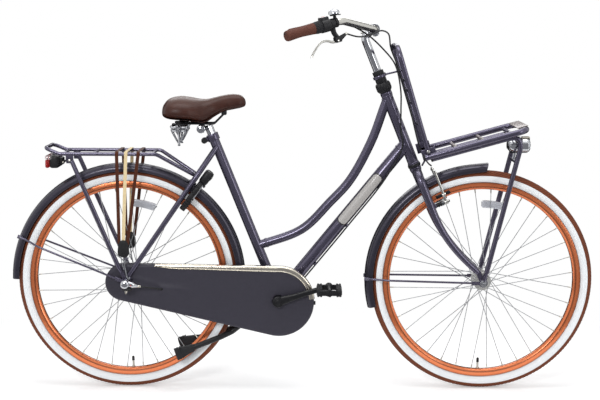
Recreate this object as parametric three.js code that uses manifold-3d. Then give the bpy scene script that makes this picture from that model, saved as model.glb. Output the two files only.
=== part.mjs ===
// Dutch city bike with front and rear carriers, a closed chaincase and a two-legged stand.
// Lengths are millimetres: +X is forward, +Y the rider's left, +Z up, with the ground at Z = 0.
// Distances along the steering axis start at the crown race, those along the seat tube at the cranks.
import * as THREE from "three";
import { mergeVertices } from "three/addons/utils/BufferGeometryUtils.js";
import Module from "manifold-3d";

const wasm = await Module();
wasm.setup();

// Fits
const fitGap = 0.3;
const runningGap = 0.5;
const overrun = 5;
const weldTolerance = 0.001;
const rootOverlap = 2;
const faceOverlap = 1;

// Layout of the bicycle
const wheelbase = 1143;
const wheelRadius = 358;
const crankTyreGap = 128;
const crankDrop = 60;
const seatAngle = 112;
const headAngle = 112;
const forkRake = 66.5;

// Frame tubes
const seatTubeLength = 573;
const seatPostRadius = 13.6;
const seatTubeWall = 1.9;
const downTubeRadius = 20.5;
const downTubeWall = 1.5;
const downTubeJoin = 80;
const swanTubeRadius = 14.3;
const swanTubeWall = 1.5;
const swanSeatJoin = 182;
const swanHeadDrop = 18;
const swanShares = [[0, 0], [0.345, 0.114], [0.562, 0.298], [0.716, 0.447], [0.882, 0.716], [0.973, 0.936],
  [1, 1]];
const headTubeStart = 12;
const headTubeLength = 246;
const headTubeWall = 4.3;
const headCupRadius = 20;
const steererRadius = 12.7;
const bracketShellRadius = 20;
const bracketShellHalf = 34;
const crankSpindleRadius = 8;
const stayTopDrop = 44;
const stayTopSide = 11;
const stayBendSide = 40;
const stayBendShare = 0.24;
const stayFootForward = 8;
const stayFootRise = 22;
const stayRadius = 9;
const stayBend = 30;
const chainStayStartSide = 22;
const chainStayTyreSide = 36;
const chainStayEndSide = 58;
const chainStayRadius = 8.5;
const chainStayEndRadius = 6;
const dropoutInner = 58;
const dropoutOuter = 72;
const dropoutRadius = 17;
const bridgeRadius = 6;
const bridgeShare = 0.23;
const standPlateLength = 50;
const standPlateThick = 5;
const standPlateOverlap = 6;
const standEarThick = 6;
const standEarSide = 12;
const standEarRadius = 12;

// Wheels
const tyreWidth = 47;
const tyreTreadShare = 0.4;
const tyreShoulderShare = 0.86;
const tyreShoulderDepthShare = 0.23;
const tyreSideShare = 0.615;
const tyreHeight = 39;
const rimFlangeHeight = 13;
const rimHeight = 22.5;
const rimHalfWidth = 14.5;
const rimInnerHalf = 8;
const rimWall = 1.4;
const wheelSegments = 32;
const spokeCount = 36;
const spokeRadius = 1;
const spokeCross = 54;
const spokeHubStagger = 1.8;
const spokeRimStagger = 1.2;
const spokeRimSide = 2.2;
const frontFlangeSide = 31;
const frontFlangeRadius = 29;
const frontShellRadius = 18;
const frontHubHalf = 52;
const frontHubEndRadius = 11;
const rearFlangeSide = 29;
const rearFlangeRadius = 40;
const rearShellRadius = 33;
const rearHubHalf = 34;
const rearHubEndRadius = 20;
const flangeThick = 3.2;
const spokeHoleInset = 3.5;
const axleRadius = 5;
const frontSpokePhaseAngle = 5;
const rearSpokePhaseAngle = 8;
const reflectorLength = 78;
const reflectorHeight = 30;
const reflectorThick = 9;
const reflectorRimGap = 48.5;
const frontReflectorAngle = 82;
const rearReflectorAngle = 78;

// Axle stacks
const tabThick = 3;
const eyeRadius = 9;
const nutThick = 7;
const nutRadius = 9.5;
const frontDropInner = 54;
const frontDropThick = 5;
const frontDropRadius = 13;
const brakeArmSide = 40;
const brakeArmLength = 150;
const brakeArmHeight = 16;
const clickBoxRadius = 14;
const clickBoxLength = 30;
const clickBoxNose = 44;
const clickBoxNoseSide = 20;
const clickBoxNoseDrop = 9;
const axleEndReach = 2;

// Mudguards
const guardRise = 21;
const guardEdgeDepth = 6;
const guardHalfWidth = 29;
const guardCrownHalf = 12;
const guardShoulderDrop = 8;
const guardShoulderHalf = 25;
const guardWall = 1.5;
const guardSegments = 32;
const rearGuardStartAngle = -2;
const rearGuardEndAngle = 180;
const frontGuardStartAngle = 88.8;
const frontGuardEndAngle = 194.3;
const guardPostRadius = 5;
const guardStayRadius = 2.8;
const guardStaySide = 34;
const rearGuardStayAngle = 158.2;
const frontGuardStayAngle = 179;

// Cranks, chain and pedals
const chainPitch = 12.7;
const chainringTeeth = 38;
const sprocketTeeth = 18;
const toothHeight = 5;
const toothThick = 2.9;
const chainLine = 48;
const chainBandThick = 1.4;
const chainHalfHeight = 4;
const chainRollers = 2;
const rollerRadius = 3;
const sprocketCarrierRadius = 12;
const crankLength = 170;
const crankAngle = 17.6;
const crankArmInner = 73;
const crankArmThick = 12;
const crankBossRadius = 18;
const crankNeckRadius = 14;
const crankTipRadius = 12;
const pedalInner = 90;
const pedalLength = 96;
const pedalDepth = 78;
const pedalThick = 26;
const pedalBarDepth = 18;
const pedalPlate = 6;
const pedalPinRadius = 5;
const pedalTubeRadius = 9;

// Chaincase
const caseFrontRadius = 113;
const caseFrontAhead = 2;
const caseFrontDrop = 3;
const caseRearRadius = 60;
const caseRearBehind = 9;
const caseRearDrop = 2;
const caseWall = 1.5;
const caseOuterFace = 66;
const caseSeam = 50;
const caseInnerFace = 34.5;
const caseArcSteps = 9;
const caseHoleGap = 2;
const trimStart = 85;
const trimWidth = 2.4;
const trimDepth = 10;
const caseCableExit = 112;

// Stand
const standPivotBack = 62;
const standPivotDrop = 38;
const standRodRadius = 7;
const standTubeRadius = 8;
const standInnerSide = 24;
const standKneeBack = 88;
const standKneeDrop = 72;
const standTyreBack = 128;
const standTyreDrop = 88;
const standTyreSide = 41;
const standFootBack = 262;
const standFootDrop = 134;
const standFootSide = 76;
const standFootLength = 34;
const standFootWidth = 26;
const standBend = 16;

// Saddle and seat post
const postRise = 27;
const postDepth = 120;
const saddleClampBehind = 23.2;
const saddleClampBelow = 8.3;
const saddleClampRadius = 13.5;
const saddleClampHalf = 25;
const clampHeight = 22;
const clampWall = 3.5;
const clampKnobReach = 30;
const clampKnobRadius = 10;
const railRadius = 3.5;
const railSide = 20;
const railRearSide = 48;
const railNoseAhead = 72;
const railNoseRise = 30;
const railFrontAhead = 42;
const railRearBehind = 36;
const railBend = 12;
const saddleLength = 265;
const saddleHalfWidth = 105;
const saddleHeight = 90;
const saddleRearBehind = 122;
const saddleBaseRise = 21;
const saddleAroundPoints = 24;
// Share along the saddle, then shares of half width, of height to the top and of height to the bottom.
const saddleShares = [
  [0, 0.5, 0.42, 0.3], [0.025, 0.74, 0.62, 0.16], [0.09, 0.93, 0.83, 0.1], [0.2, 1, 0.91, 0.07],
  [0.32, 0.96, 0.89, 0.04], [0.44, 0.78, 0.84, 0], [0.54, 0.57, 0.85, 0.03], [0.65, 0.4, 0.93, 0.27],
  [0.77, 0.31, 0.99, 0.42], [0.87, 0.28, 1, 0.48], [0.95, 0.22, 0.9, 0.52], [1, 0.12, 0.72, 0.58],
];
const springSide = 48;
const springTopRadius = 28.5;
const springTipRadius = 5;
const springHeight = 58;
const springBand = 7;
const springRingPitch = 12;
const springWire = 2.2;
const springWires = 4;
const springBehind = 67;
const springPlateHalf = 22;

// Rear carrier
const carrierRailRadius = 5.5;
const carrierHalfWidth = 68;
const carrierDeckRise = 54;
const carrierDeckFront = 100;
const carrierDeckRear = -207;
const carrierHoopRear = -250;
const carrierHoopRise = 18;
const carrierFrontSide = 26;
const carrierBend = 22;
const carrierBarRadius = 4.5;
const carrierBarPlaces = [-195, -100, 0, 88];
const carrierLegTop = -176;
const carrierLegRadius = 6.5;
const carrierLegFootBack = 20;
const carrierLegFootRise = 45;
const gussetHeight = 26;
const gussetLength = 24;
const gussetThick = 4;
const strapPlaces = [-24, 5, 44];
const strapEndPlaces = [-19, -6, 7];
const strapWidth = 9;
const strapThick = 2.2;
const strapLowSide = 84;
const strapEndDrop = 273;
const strapEndHeight = 55;
const strapEndLength = 36;
const strapEndThick = 8;
const strapHookRadius = 2;
const strapHookDrop = 396;
const tailLightLength = 43;
const tailLightHalf = 42;
const tailLightHeight = 42;
const tailLightDrop = 8;
const tailLightRound = 9;

// Frame lock
const lockAngle = 53;
const lockTyreDepth = 18;
const lockInner = 46;
const lockOuter = 66;
const lockHeadReach = 99;
const lockHeadHalf = 34;
const lockBack = 10;
const lockFront = 16;
const lockOpeningAngle = 42;
const lockSteps = 11;
const shackleRing = 53;
const shackleRadius = 4;
const shackleSpanAngle = 128;
const shackleTurnAngle = 98;
const shackleKnobInsetAngle = 8;
const shackleKnobReach = 13;
const shackleKnobRadius = 7;

// Fork
const crownRaceRadius = 19;
const crownRaceThick = 10;
const crownStubRadius = 16;
const crownStubLength = 34;
const crownTyreGap = 31;
const bladeTopRadius = 14;
const bladeTipRadius = 9;
const bladeTopSide = 46;
const bladeShoulderDrop = 30;
const bladeStraight = 148;
const bladeTipRise = 36;
const bladeTipBack = 2;
const bladeTipSide = 57;
const bladeSteps = 5;

// Headset, stem and handlebar
const headsetCapRadius = 25;
const headsetCapHeight = 34;
const headsetRingRadius = 18;
const headsetRingHeight = 38;
const headsetCorners = 8;
const quillRadius = 11;
const quillDepth = 60;
const stemRadius = 12.7;
const stemRise = 121.7;
const barClampRise = 5;
const barClampOut = 38;
const barClampRadius = 18;
const barClampHalf = 19;
const barCentreRadius = 12.6;
const barRadius = 11.1;
const barCentreHalf = 30;
const barCornerBack = 106;
const barCornerSide = 202;
const barCornerRise = 27;
const barEndBack = 272;
const barEndSide = 300;
const barEndDrop = 19;
const barBend = 66;
const gripRadius = 17;
const gripEndRadius = 15;
const gripLength = 95;
const leftGripLength = 128;
const gripOverhang = 2;
const gripLipLength = 8;
const twistLength = 25;
const twistRadius = 19;
const housingLength = 28;
const housingRadius = 21;
const housingBoxHeight = 12;

// Brake lever and bracket, placed along the right grip line from its outer end
const bracketPlace = 160;
const bracketWidth = 16;
const bracketRingRadius = 15;
const bracketDrop = 54;
const bracketBodyRadius = 9;
const bracketNoseLength = 32;
const bracketNoseRise = 12;
const leverPinAhead = 8;
const leverPinRadius = 2.5;
const leverEarGap = 7;
const leverRadius = 4;
const leverReach = 100;
const leverDrop = 14;

// Bell, placed along the right grip line
const bellPlace = 174.5;
const bellRingWidth = 7;
const bellRise = 27;
const bellRadius = 17;
const bellWall = 1.5;
const bellDomeHeight = 15;
const bellBaseRadius = 14;
const bellBaseThick = 5;
const bellLeverLength = 18;
const bellLeverRadius = 2.2;

// Front brake arms, placed along the steering axis
const armPivotOut = 51;
const armPivotSide = 46;
const armStudRadius = 4;
const armBossRadius = 8;
const armBossLength = 12;
const armLength = 108;
const armWidth = 10;
const armThick = 8;
const armLeanAngle = 4;
const padUp = 21;
const padFlangeDrop = 9.6;
const padGap = 1.3;
const padThick = 11;
const padHeight = 10;
const padLength = 50;

// Front carrier
const deckTiltAngle = 15.5;
const deckRearBehind = 198;
const deckRise = 51;
const deckLength = 329;
const deckHalfWidth = 118;
const deckTubeRadius = 10;
const deckCorner = 34;
const deckBarPlaces = [22, 108, 196, 284];
const deckBarRadius = 6;
const deckBarDrop = 4;
const backTiltAngle = 107;
const backFootAlong = 14;
const backHeight = 345;
const backTubeRadius = 8;
const backRungPlaces = [85, 157, 198, 232, 265];
const backRungRadius = 4.5;
const legSide = 70;
const legRadius = 8;
const legRearAlong = 24;
const legBend = 26;
const legOverlap = 2;
const legFootRise = 24;
const legKneeAlong = 322;
const legBraceShare = 0.2;
const legBraceRadius = 6;
const legTabRadius = 14;
const strutRadius = 3;
const strutHeadDrop = 19.3;
const headlightLength = 76;
const headlightRadius = 25;
const headlightAlong = 306;
const headlightDrop = 54;
const headlightPostRadius = 5;

// Cables
const cableRadius = 2.5;

const point = (x, y, z) => new THREE.Vector3(x, y, z);
const half = (value) => value / 2;
const radians = THREE.MathUtils.degToRad;
const heading = (degrees) => point(Math.cos(radians(degrees)), 0, Math.sin(radians(degrees)));
const left = point(0, 1, 0);
const along = (from, direction, length) => from.clone().addScaledVector(direction, length);
const sided = (p, y) => point(p.x, y, p.z);
const toward = (from, to) => to.clone().sub(from).normalize();
const last = (list) => list[list.length - 1];
const clearOf = (radius, segments) => radius / Math.cos(Math.PI / segments);
const range = (count) => Array.from({ length: count }, (_, i) => i);

// A closed three.js geometry as a solid with its faces pointing out.
function solid(geometry) {
  const bare = geometry.index ? geometry.toNonIndexed() : geometry.clone();
  bare.deleteAttribute("normal");
  bare.deleteAttribute("uv");
  const merged = mergeVertices(bare, weldTolerance);
  const corners = Array.from(merged.index.array);
  const faces = [];
  for (let i = 0; i < corners.length; i += 3) {
    const [a, b, c] = corners.slice(i, i + 3);
    if (a !== b && b !== c && c !== a) faces.push([a, b, c]);
  }
  const build = (list) => new wasm.Manifold(new wasm.Mesh({
    numProp: 3,
    vertProperties: merged.attributes.position.array,
    triVerts: new Uint32Array(list.flat()),
  }));
  const made = build(faces);
  return made.volume() < 0 ? build(faces.map(([a, b, c]) => [a, c, b])) : made;
}

const join = (...solids) => solids.flat().reduce((sum, next) => sum.add(next));
const cut = (base, ...tools) => tools.flat().reduce((sum, next) => sum.subtract(next), base);

// Turns a geometry made about +Y so that it lies along a direction from an origin.
function laid(geometry, origin, direction) {
  const turn = new THREE.Quaternion().setFromUnitVectors(point(0, 1, 0), direction.clone().normalize());
  return geometry.applyQuaternion(turn).translate(origin.x, origin.y, origin.z);
}

function rod(from, to, radius, sides = 10, endRadius = radius) {
  const length = from.distanceTo(to);
  const geometry = new THREE.CylinderGeometry(endRadius, radius, length, sides).translate(0, half(length), 0);
  return solid(laid(geometry, from, toward(from, to)));
}

// A turned solid: the profile is a list of radius and distance along the axis.
function turned(profile, origin, direction, segments = 20) {
  const points = profile.map(([radius, distance]) => new THREE.Vector2(radius, distance));
  if (points[0].x > 0) points.push(points[0].clone());
  return solid(laid(new THREE.LatheGeometry(points, segments), origin, direction));
}

const disc = (centre, direction, radius, from, to, segments = 10) =>
  rod(along(centre, direction, from), along(centre, direction, to), radius, segments);

// A plate whose outline lies in the XZ plane, between two places along Y.
function plate(outline, from, to) {
  const shape = new THREE.Shape(outline.map(([x, z]) => new THREE.Vector2(x, z)));
  const geometry = new THREE.ExtrudeGeometry(shape, { depth: to - from, bevelEnabled: false });
  return solid(geometry.rotateX(radians(90)).translate(0, to, 0));
}

// A block centred on a place, with its own three directions.
function block(centre, size, forward = point(1, 0, 0), up = point(0, 0, 1)) {
  const geometry = new THREE.BoxGeometry(size[0], size[1], size[2]);
  const side = up.clone().cross(forward).normalize();
  const basis = new THREE.Matrix4().makeBasis(forward, side, up).setPosition(centre);
  return solid(geometry.applyMatrix4(basis));
}

// A route through chosen stations, which an extrusion follows.
class Route extends THREE.Curve {
  constructor(stations) {
    super();
    this.stations = stations;
  }
  place(share) {
    return Math.round(share * (this.stations.length - 1));
  }
  getPoint(share) {
    return this.stations[this.place(share)].clone();
  }
  getPointAt(share) {
    return this.getPoint(share);
  }
  getTangentAt(share) {
    const i = this.place(share);
    const before = i > 0 ? toward(this.stations[i - 1], this.stations[i]) : point(0, 0, 0);
    const after = i < this.stations.length - 1 ? toward(this.stations[i], this.stations[i + 1]) : point(0, 0,
      0);
    return before.add(after).normalize();
  }
}

// Rounds the corners of a line of points with arcs of one bend radius.
function rounded(points, bend, steps = 4) {
  const stations = [points[0].clone()];
  for (let i = 1; i < points.length - 1; i += 1) {
    const before = toward(points[i], points[i - 1]);
    const after = toward(points[i], points[i + 1]);
    const room = Math.min(points[i].distanceTo(points[i - 1]), points[i].distanceTo(points[i + 1]));
    const reach = Math.min(bend / Math.tan(half(before.angleTo(after))), half(room) * 0.98);
    const arc = new THREE.QuadraticBezierCurve3(
      along(points[i], before, reach), points[i], along(points[i], after, reach));
    stations.push(...arc.getPoints(steps));
  }
  stations.push(last(points).clone());
  return stations;
}

const circle = (radius, sides) => new THREE.Shape(range(sides).map((i) => {
  const angle = (2 * Math.PI * (i + 0.5)) / sides;
  return new THREE.Vector2(radius * Math.cos(angle), radius * Math.sin(angle));
}));

const swept = (shape, stations) => solid(new THREE.ExtrudeGeometry(shape, {
  steps: stations.length - 1,
  extrudePath: new Route(stations),
}));

const tube = (stations, radius, sides = 8) => swept(circle(radius, sides), stations);

const bentTube = (points, radius, bend, sides = 8, steps = 4) =>
  tube(rounded(points, bend, steps), radius, sides);

// A tube whose radius changes steadily from its first station to its last.
function taperedTube(stations, firstRadius, lastRadius, sides = 10) {
  const frames = new Route(stations).computeFrenetFrames(stations.length - 1, false);
  const corners = [];
  stations.forEach((centre, k) => {
    const radius = THREE.MathUtils.lerp(firstRadius, lastRadius, k / (stations.length - 1));
    range(sides).forEach((j) => {
      const angle = (2 * Math.PI * j) / sides;
      corners.push(centre.clone()
        .addScaledVector(frames.normals[k], radius * Math.cos(angle))
        .addScaledVector(frames.binormals[k], radius * Math.sin(angle)));
    });
  });
  return loft(corners, sides);
}

// Joins equal rings of points into one closed surface, with flat ends.
function loft(corners, around) {
  const rings = corners.length / around;
  const index = [];
  range(rings - 1).forEach((k) => range(around).forEach((j) => {
    const a = k * around + j;
    const b = k * around + ((j + 1) % around);
    index.push(a, b, b + around, a, b + around, a + around);
  }));
  const end = (rings - 1) * around;
  for (let j = 1; j < around - 1; j += 1) {
    index.push(0, j + 1, j);
    index.push(end, end + j, end + j + 1);
  }
  const geometry = new THREE.BufferGeometry().setFromPoints(corners);
  geometry.setIndex(index);
  return solid(geometry);
}

// Materials
const finish = (color, roughness, metalness) =>
  new THREE.MeshStandardMaterial({ color, roughness, metalness });
const framePaint = finish("#5c566b", 0.5, 0.3);
const guardPaint = finish("#3d3b45", 0.5, 0.2);
const chrome = finish("#d5d6d8", 0.15, 1);
const steel = finish("#8d9096", 0.4, 0.9);
const copper = finish("#d9733f", 0.3, 0.8);
const tread = finish("#8a4a2e", 0.9, 0);
const blackPlastic = finish("#1d1d20", 0.6, 0);
const brownLeather = finish("#4a2418", 0.6, 0);
const gripRubber = finish("#6b3f33", 0.8, 0);
const webbing = finish("#4a2515", 0.9, 0);
const clearPlastic = finish("#c9cbd2", 0.3, 0);

// Main places
const crankForward = wheelRadius + crankTyreGap;
const forkLength = wheelRadius + crownTyreGap + crownStubLength;
const lockReach = wheelRadius - lockTyreDepth;
const deckRear = wheelbase - deckRearBehind;
const deckRearHeight = 2 * wheelRadius + deckRise;
const rimFlangeRadius = wheelRadius - tyreHeight;
const rimWellRadius = rimFlangeRadius - rimFlangeHeight;
const rimInnerRadius = rimFlangeRadius - rimHeight;
const reflectorReach = rimInnerRadius - reflectorRimGap;
const guardOuterRadius = wheelRadius + guardRise;
const guardEdgeRadius = wheelRadius - guardEdgeDepth;
const stayTopJoin = seatTubeLength - stayTopDrop;
const postTop = seatTubeLength + postRise;
const carrierDeckHeight = 2 * wheelRadius + carrierDeckRise;
const strapEndTop = carrierDeckHeight - strapEndDrop;
const strapHookFoot = carrierDeckHeight - strapHookDrop;
const rearAxlePlace = point(0, 0, wheelRadius);
const frontAxlePlace = point(wheelbase, 0, wheelRadius);
const crankPlace = point(crankForward, 0, wheelRadius - crankDrop);
const seatUp = heading(seatAngle);
const headUp = heading(headAngle);
const headOut = heading(headAngle - 90);
const crownRace = along(along(frontAxlePlace, headOut, -forkRake), headUp, forkLength);
const onHead = (distance, out = 0, side = 0) =>
  along(along(along(crownRace, headUp, distance), headOut, out), left, side);
const onSeat = (distance, side = 0) => along(along(crankPlace, seatUp, distance), left, side);
const headTubeTop = headTubeStart + headTubeLength;
const seatBoreRadius = seatPostRadius + fitGap;
const seatTubeRadius = seatBoreRadius + seatTubeWall;
const headTubeRadius = steererRadius + runningGap + headTubeWall;
const headsetTop = headTubeTop + fitGap + headsetCapHeight + headsetRingHeight;
const swanHeadJoin = headTubeTop - swanHeadDrop;
const steererTop = headsetTop - fitGap;
const stemTop = headsetTop + stemRise;
const barClampAlong = stemTop + barClampRise;
const strutHeadAlong = headsetTop - strutHeadDrop;
const padRise = Math.sqrt((rimFlangeRadius - padFlangeDrop) ** 2 - (forkRake - armPivotOut) ** 2);
const armPivotDown = forkLength + padUp - padRise;
const sides = [-1, 1];

// The direction square to a line that lies nearest to straight up.
function uprightFrom(line) {
  const up = heading(90);
  return along(up, line, -up.dot(line)).normalize();
}

const bike = new THREE.Group();
const frameGroup = new THREE.Group();
const steeringGroup = new THREE.Group();
bike.add(frameGroup, steeringGroup);

function piece(group, name, body, material) {
  const data = body.getMesh();
  const vertices = new Float32Array(data.numVert * 3);
  range(data.numVert).forEach((i) => {
    vertices.set(data.vertProperties.subarray(i * data.numProp, i * data.numProp + 3), i * 3);
  });
  const geometry = new THREE.BufferGeometry().setAttribute("position",
    new THREE.BufferAttribute(vertices, 3));
  geometry.setIndex(new THREE.BufferAttribute(data.triVerts, 1));
  geometry.computeVertexNormals();
  const mesh = new THREE.Mesh(geometry, material);
  mesh.name = name;
  group.add(mesh);
}

function placedGroup(parent, place) {
  const group = new THREE.Group();
  group.position.copy(place);
  parent.add(group);
  return group;
}

// Frame: seat, down, swan and head tubes, stays, dropouts, stay bridge and the plate that holds the stand
const bridgePlace = (() => {
  const foot = along(along(rearAxlePlace, heading(0), stayFootForward), heading(90), stayFootRise);
  return onSeat(stayTopJoin).lerp(foot, bridgeShare);
})();
const standPivot = point(crankForward - standPivotBack, 0, wheelRadius - crankDrop - standPivotDrop);
const swanRoute = (() => {
  const foot = onSeat(swanSeatJoin);
  const head = onHead(swanHeadJoin);
  const points = swanShares.map(([x, z]) =>
    point(THREE.MathUtils.lerp(foot.x, head.x, x), 0, THREE.MathUtils.lerp(foot.z, head.z, z)));
  return new THREE.CatmullRomCurve3(points, false, "centripetal").getPoints(10);
})();
function seatStayRoute(side) {
  const top = onSeat(stayTopJoin, side * stayTopSide);
  const foot = along(along(rearAxlePlace, heading(0), stayFootForward), heading(90), stayFootRise);
  const outer = sided(foot,
    side * half(dropoutInner + dropoutOuter) + side * half(dropoutOuter - dropoutInner));
  const knee = sided(onSeat(stayTopJoin).lerp(foot, stayBendShare), side * stayBendSide);
  return rounded([top, knee, outer], stayBend, 2);
}
function chainStayRoute(side) {
  const line = (share, y) => sided(crankPlace.clone().lerp(rearAxlePlace, share), side * y);
  const tyreShare = 1 - wheelRadius / crankForward;
  return [line(0, chainStayStartSide), line(tyreShare, chainStayTyreSide),
    line(1 - (2 * dropoutRadius) / crankForward, chainStayEndSide),
    line(1 - half(dropoutRadius) / crankForward, half(dropoutInner + dropoutOuter))];
}
const chainStayShell = (grown) => sides.map((side) => taperedTube(
  rounded(chainStayRoute(side), stayBend, 2), chainStayRadius + grown, chainStayEndRadius + grown, 6));

function makeFrame() {
  const headTop = onHead(headTubeTop);
  const headFoot = onHead(headTubeStart);
  const seatTop = onSeat(seatTubeLength);
  const downTop = onHead(downTubeJoin);
  const dropouts = sides.map((side) => disc(rearAxlePlace, left, dropoutRadius, side * dropoutInner,
    side * dropoutOuter));
  const plateTop = crankPlace.z + (crankDrop * standPivotBack) / crankForward - standPlateOverlap;
  const plateCentre = point(standPivot.x, 0, plateTop);
  const ears = sides.map((side) => join(
    disc(standPivot, left, standEarRadius, side * standEarSide - half(standEarThick),
      side * standEarSide + half(standEarThick)),
    block(point(standPivot.x, side * standEarSide, half(standPivot.z + plateTop)),
      [2 * standEarRadius, standEarThick, plateTop - standPivot.z])));
  const outer = join(
    rod(crankPlace, seatTop, seatTubeRadius, 12),
    rod(crankPlace, downTop, downTubeRadius, 14),
    tube(swanRoute, swanTubeRadius, 8),
    rod(onHead(half(headTubeStart)), headTop, headTubeRadius, 12),
    rod(onHead(runningGap), headFoot, headCupRadius, 12),
    disc(crankPlace, left, bracketShellRadius, -bracketShellHalf, bracketShellHalf),
    sides.map((side) => tube(seatStayRoute(side), stayRadius, 6)),
    chainStayShell(0),
    dropouts,
    rod(sided(bridgePlace, -stayBendSide), sided(bridgePlace, stayBendSide), bridgeRadius, 8),
    block(plateCentre, [standPlateLength, 2 * chainStayTyreSide - 2 * chainStayRadius, standPlateThick]),
    ears,
  );
  const hollows = [
    rod(onSeat(0), along(seatTop, seatUp, overrun), seatBoreRadius, 12),
    rod(crankPlace, downTop, downTubeRadius - downTubeWall, 8),
    tube(swanRoute, swanTubeRadius - swanTubeWall, 6),
    rod(onHead(-overrun), onHead(headTubeTop + overrun), steererRadius + runningGap, 12),
    disc(crankPlace, left, crankSpindleRadius + runningGap, -bracketShellHalf - overrun,
      bracketShellHalf + overrun),
    disc(rearAxlePlace, left, axleRadius + fitGap, -dropoutOuter - overrun, dropoutOuter + overrun),
    disc(standPivot, left, standRodRadius + runningGap, -standEarSide - standEarThick,
      standEarSide + standEarThick),
  ].flat();
  piece(frameGroup, "frame", cut(outer, hollows), framePaint);
}
makeFrame();

// Wheels: a rim ring, a tyre ring, a hub shell with its laced spokes, and a reflector between them
const mirrored = (profile) => [...profile, ...profile.slice().reverse().map(([r, y]) => [r, -y])];

function makeWheel(group, prefix, hub) {
  const rimProfile = mirrored([[rimInnerRadius, rimInnerHalf], [rimWellRadius, rimHalfWidth],
    [rimFlangeRadius, rimHalfWidth], [rimFlangeRadius, rimHalfWidth - rimWall],
      [rimWellRadius, rimHalfWidth - rimWall]]);
  piece(group, `${prefix}_rim`, turned(rimProfile, point(0, 0, 0), left, wheelSegments), copper);
  const beadHalf = rimHalfWidth - rimWall - fitGap;
  const tyreProfile = mirrored([[rimWellRadius + runningGap, beadHalf], [rimFlangeRadius + fitGap, beadHalf],
    [wheelRadius - tyreSideShare * tyreHeight, half(tyreWidth)],
      [wheelRadius - tyreShoulderDepthShare * tyreHeight, tyreShoulderShare * half(tyreWidth)],
    [wheelRadius, tyreTreadShare * half(tyreWidth)]]);
  piece(group, `${prefix}_tyre`, turned(tyreProfile, point(0, 0, 0), left, wheelSegments), tread);

  const bore = axleRadius + fitGap;
  const flange = hub.flangeSide;
  const edge = half(flangeThick);
  const shell = turned([[bore, -hub.half], [hub.endRadius, -hub.half], [hub.endRadius, -flange - edge],
    [hub.flangeRadius, -flange - edge], [hub.flangeRadius, -flange + edge], [hub.shellRadius, -flange + edge],
    [hub.shellRadius, flange - edge], [hub.flangeRadius, flange - edge], [hub.flangeRadius, flange + edge],
    [hub.endRadius, flange + edge], [hub.endRadius, hub.half], [bore, hub.half]], point(0, 0, 0), left, 16);
  const spokeEnds = range(spokeCount).map((i) => {
    const side = i % 2 ? 1 : -1;
    const lead = Math.floor(half(i)) % 2 ? 1 : -1;
    const rimAngle = hub.phase + (360 * i) / spokeCount;
    const hubEnd = heading(rimAngle + lead * spokeCross).multiplyScalar(hub.flangeRadius - spokeHoleInset);
    const rimEnd = heading(rimAngle).multiplyScalar(rimInnerRadius * Math.cos(Math.PI / wheelSegments) - fitGap);
    return [sided(hubEnd, side * (flange + lead * spokeHubStagger)),
      sided(rimEnd, side * (spokeRimSide + lead * spokeRimStagger))];
  });
  const spokes = (radius) => spokeEnds.map(([from, to]) => rod(from, to, radius, 3));
  piece(group, `${prefix}_hub`, join(shell, spokes(spokeRadius)), chrome);

  const out = heading(hub.reflectorAngle);
  const across = out.clone().cross(left).normalize();
  const centre = along(point(0, 0, 0), out, reflectorReach);
  const body = block(centre, [reflectorLength, reflectorThick, reflectorHeight], across, out);
  piece(group, `${prefix}_reflector`, cut(body, spokes(spokeRadius + 2 * runningGap)), clearPlastic);
}

const frontWheel = placedGroup(steeringGroup, frontAxlePlace);
const rearWheel = placedGroup(frameGroup, rearAxlePlace);
makeWheel(frontWheel, "front", {
  flangeSide: frontFlangeSide, flangeRadius: frontFlangeRadius, shellRadius: frontShellRadius,
  half: frontHubHalf, endRadius: frontHubEndRadius, phase: frontSpokePhaseAngle,
    reflectorAngle: frontReflectorAngle,
});
makeWheel(rearWheel, "rear", {
  flangeSide: rearFlangeSide, flangeRadius: rearFlangeRadius, shellRadius: rearShellRadius,
  half: rearHubHalf, endRadius: rearHubEndRadius, phase: rearSpokePhaseAngle,
    reflectorAngle: rearReflectorAngle,
});

// Axles: a threaded rod with its nuts, each outside the tab and eye that it clamps
const stackTab = fitGap;
const stackEye = stackTab + tabThick + fitGap;
const stackNut = stackEye + tabThick + fitGap;

function axle(place, outer) {
  const end = outer + stackNut + nutThick + axleEndReach;
  return join(
    disc(place, left, axleRadius, -end, end, 12),
    sides.map((side) => disc(place, left, nutRadius, side * (outer + stackNut),
      side * (outer + stackNut + nutThick), 6)),
  );
}

function makeAxles() {
  const armCentre = along(rearAxlePlace, toward(rearAxlePlace, crankPlace), half(brakeArmLength));
  const arm = join(
    disc(rearAxlePlace, left, brakeArmHeight, brakeArmSide - half(tabThick), brakeArmSide + half(tabThick)),
    block(sided(armCentre, brakeArmSide), [brakeArmLength, tabThick, brakeArmHeight],
      toward(rearAxlePlace, crankPlace),
        heading(90 - THREE.MathUtils.radToDeg(Math.atan(crankDrop / crankForward)))),
  );
  piece(frameGroup, "rear_axle", join(axle(rearAxlePlace, dropoutOuter), arm), steel);
  piece(steeringGroup, "front_axle", axle(frontAxlePlace, frontDropInner + frontDropThick), steel);
}
makeAxles();

// Mudguards: a thin channel round the tyre, cut to its arc, with a post to the part that holds it
const guardProfile = (grown) => [[guardEdgeRadius, guardHalfWidth + grown],
  [guardOuterRadius - guardShoulderDrop + grown, guardShoulderHalf + grown],
    [guardOuterRadius + grown, guardCrownHalf],
  [guardOuterRadius + grown, -guardCrownHalf],
    [guardOuterRadius - guardShoulderDrop + grown, -guardShoulderHalf - grown],
  [guardEdgeRadius, -guardHalfWidth - grown]];

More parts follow.
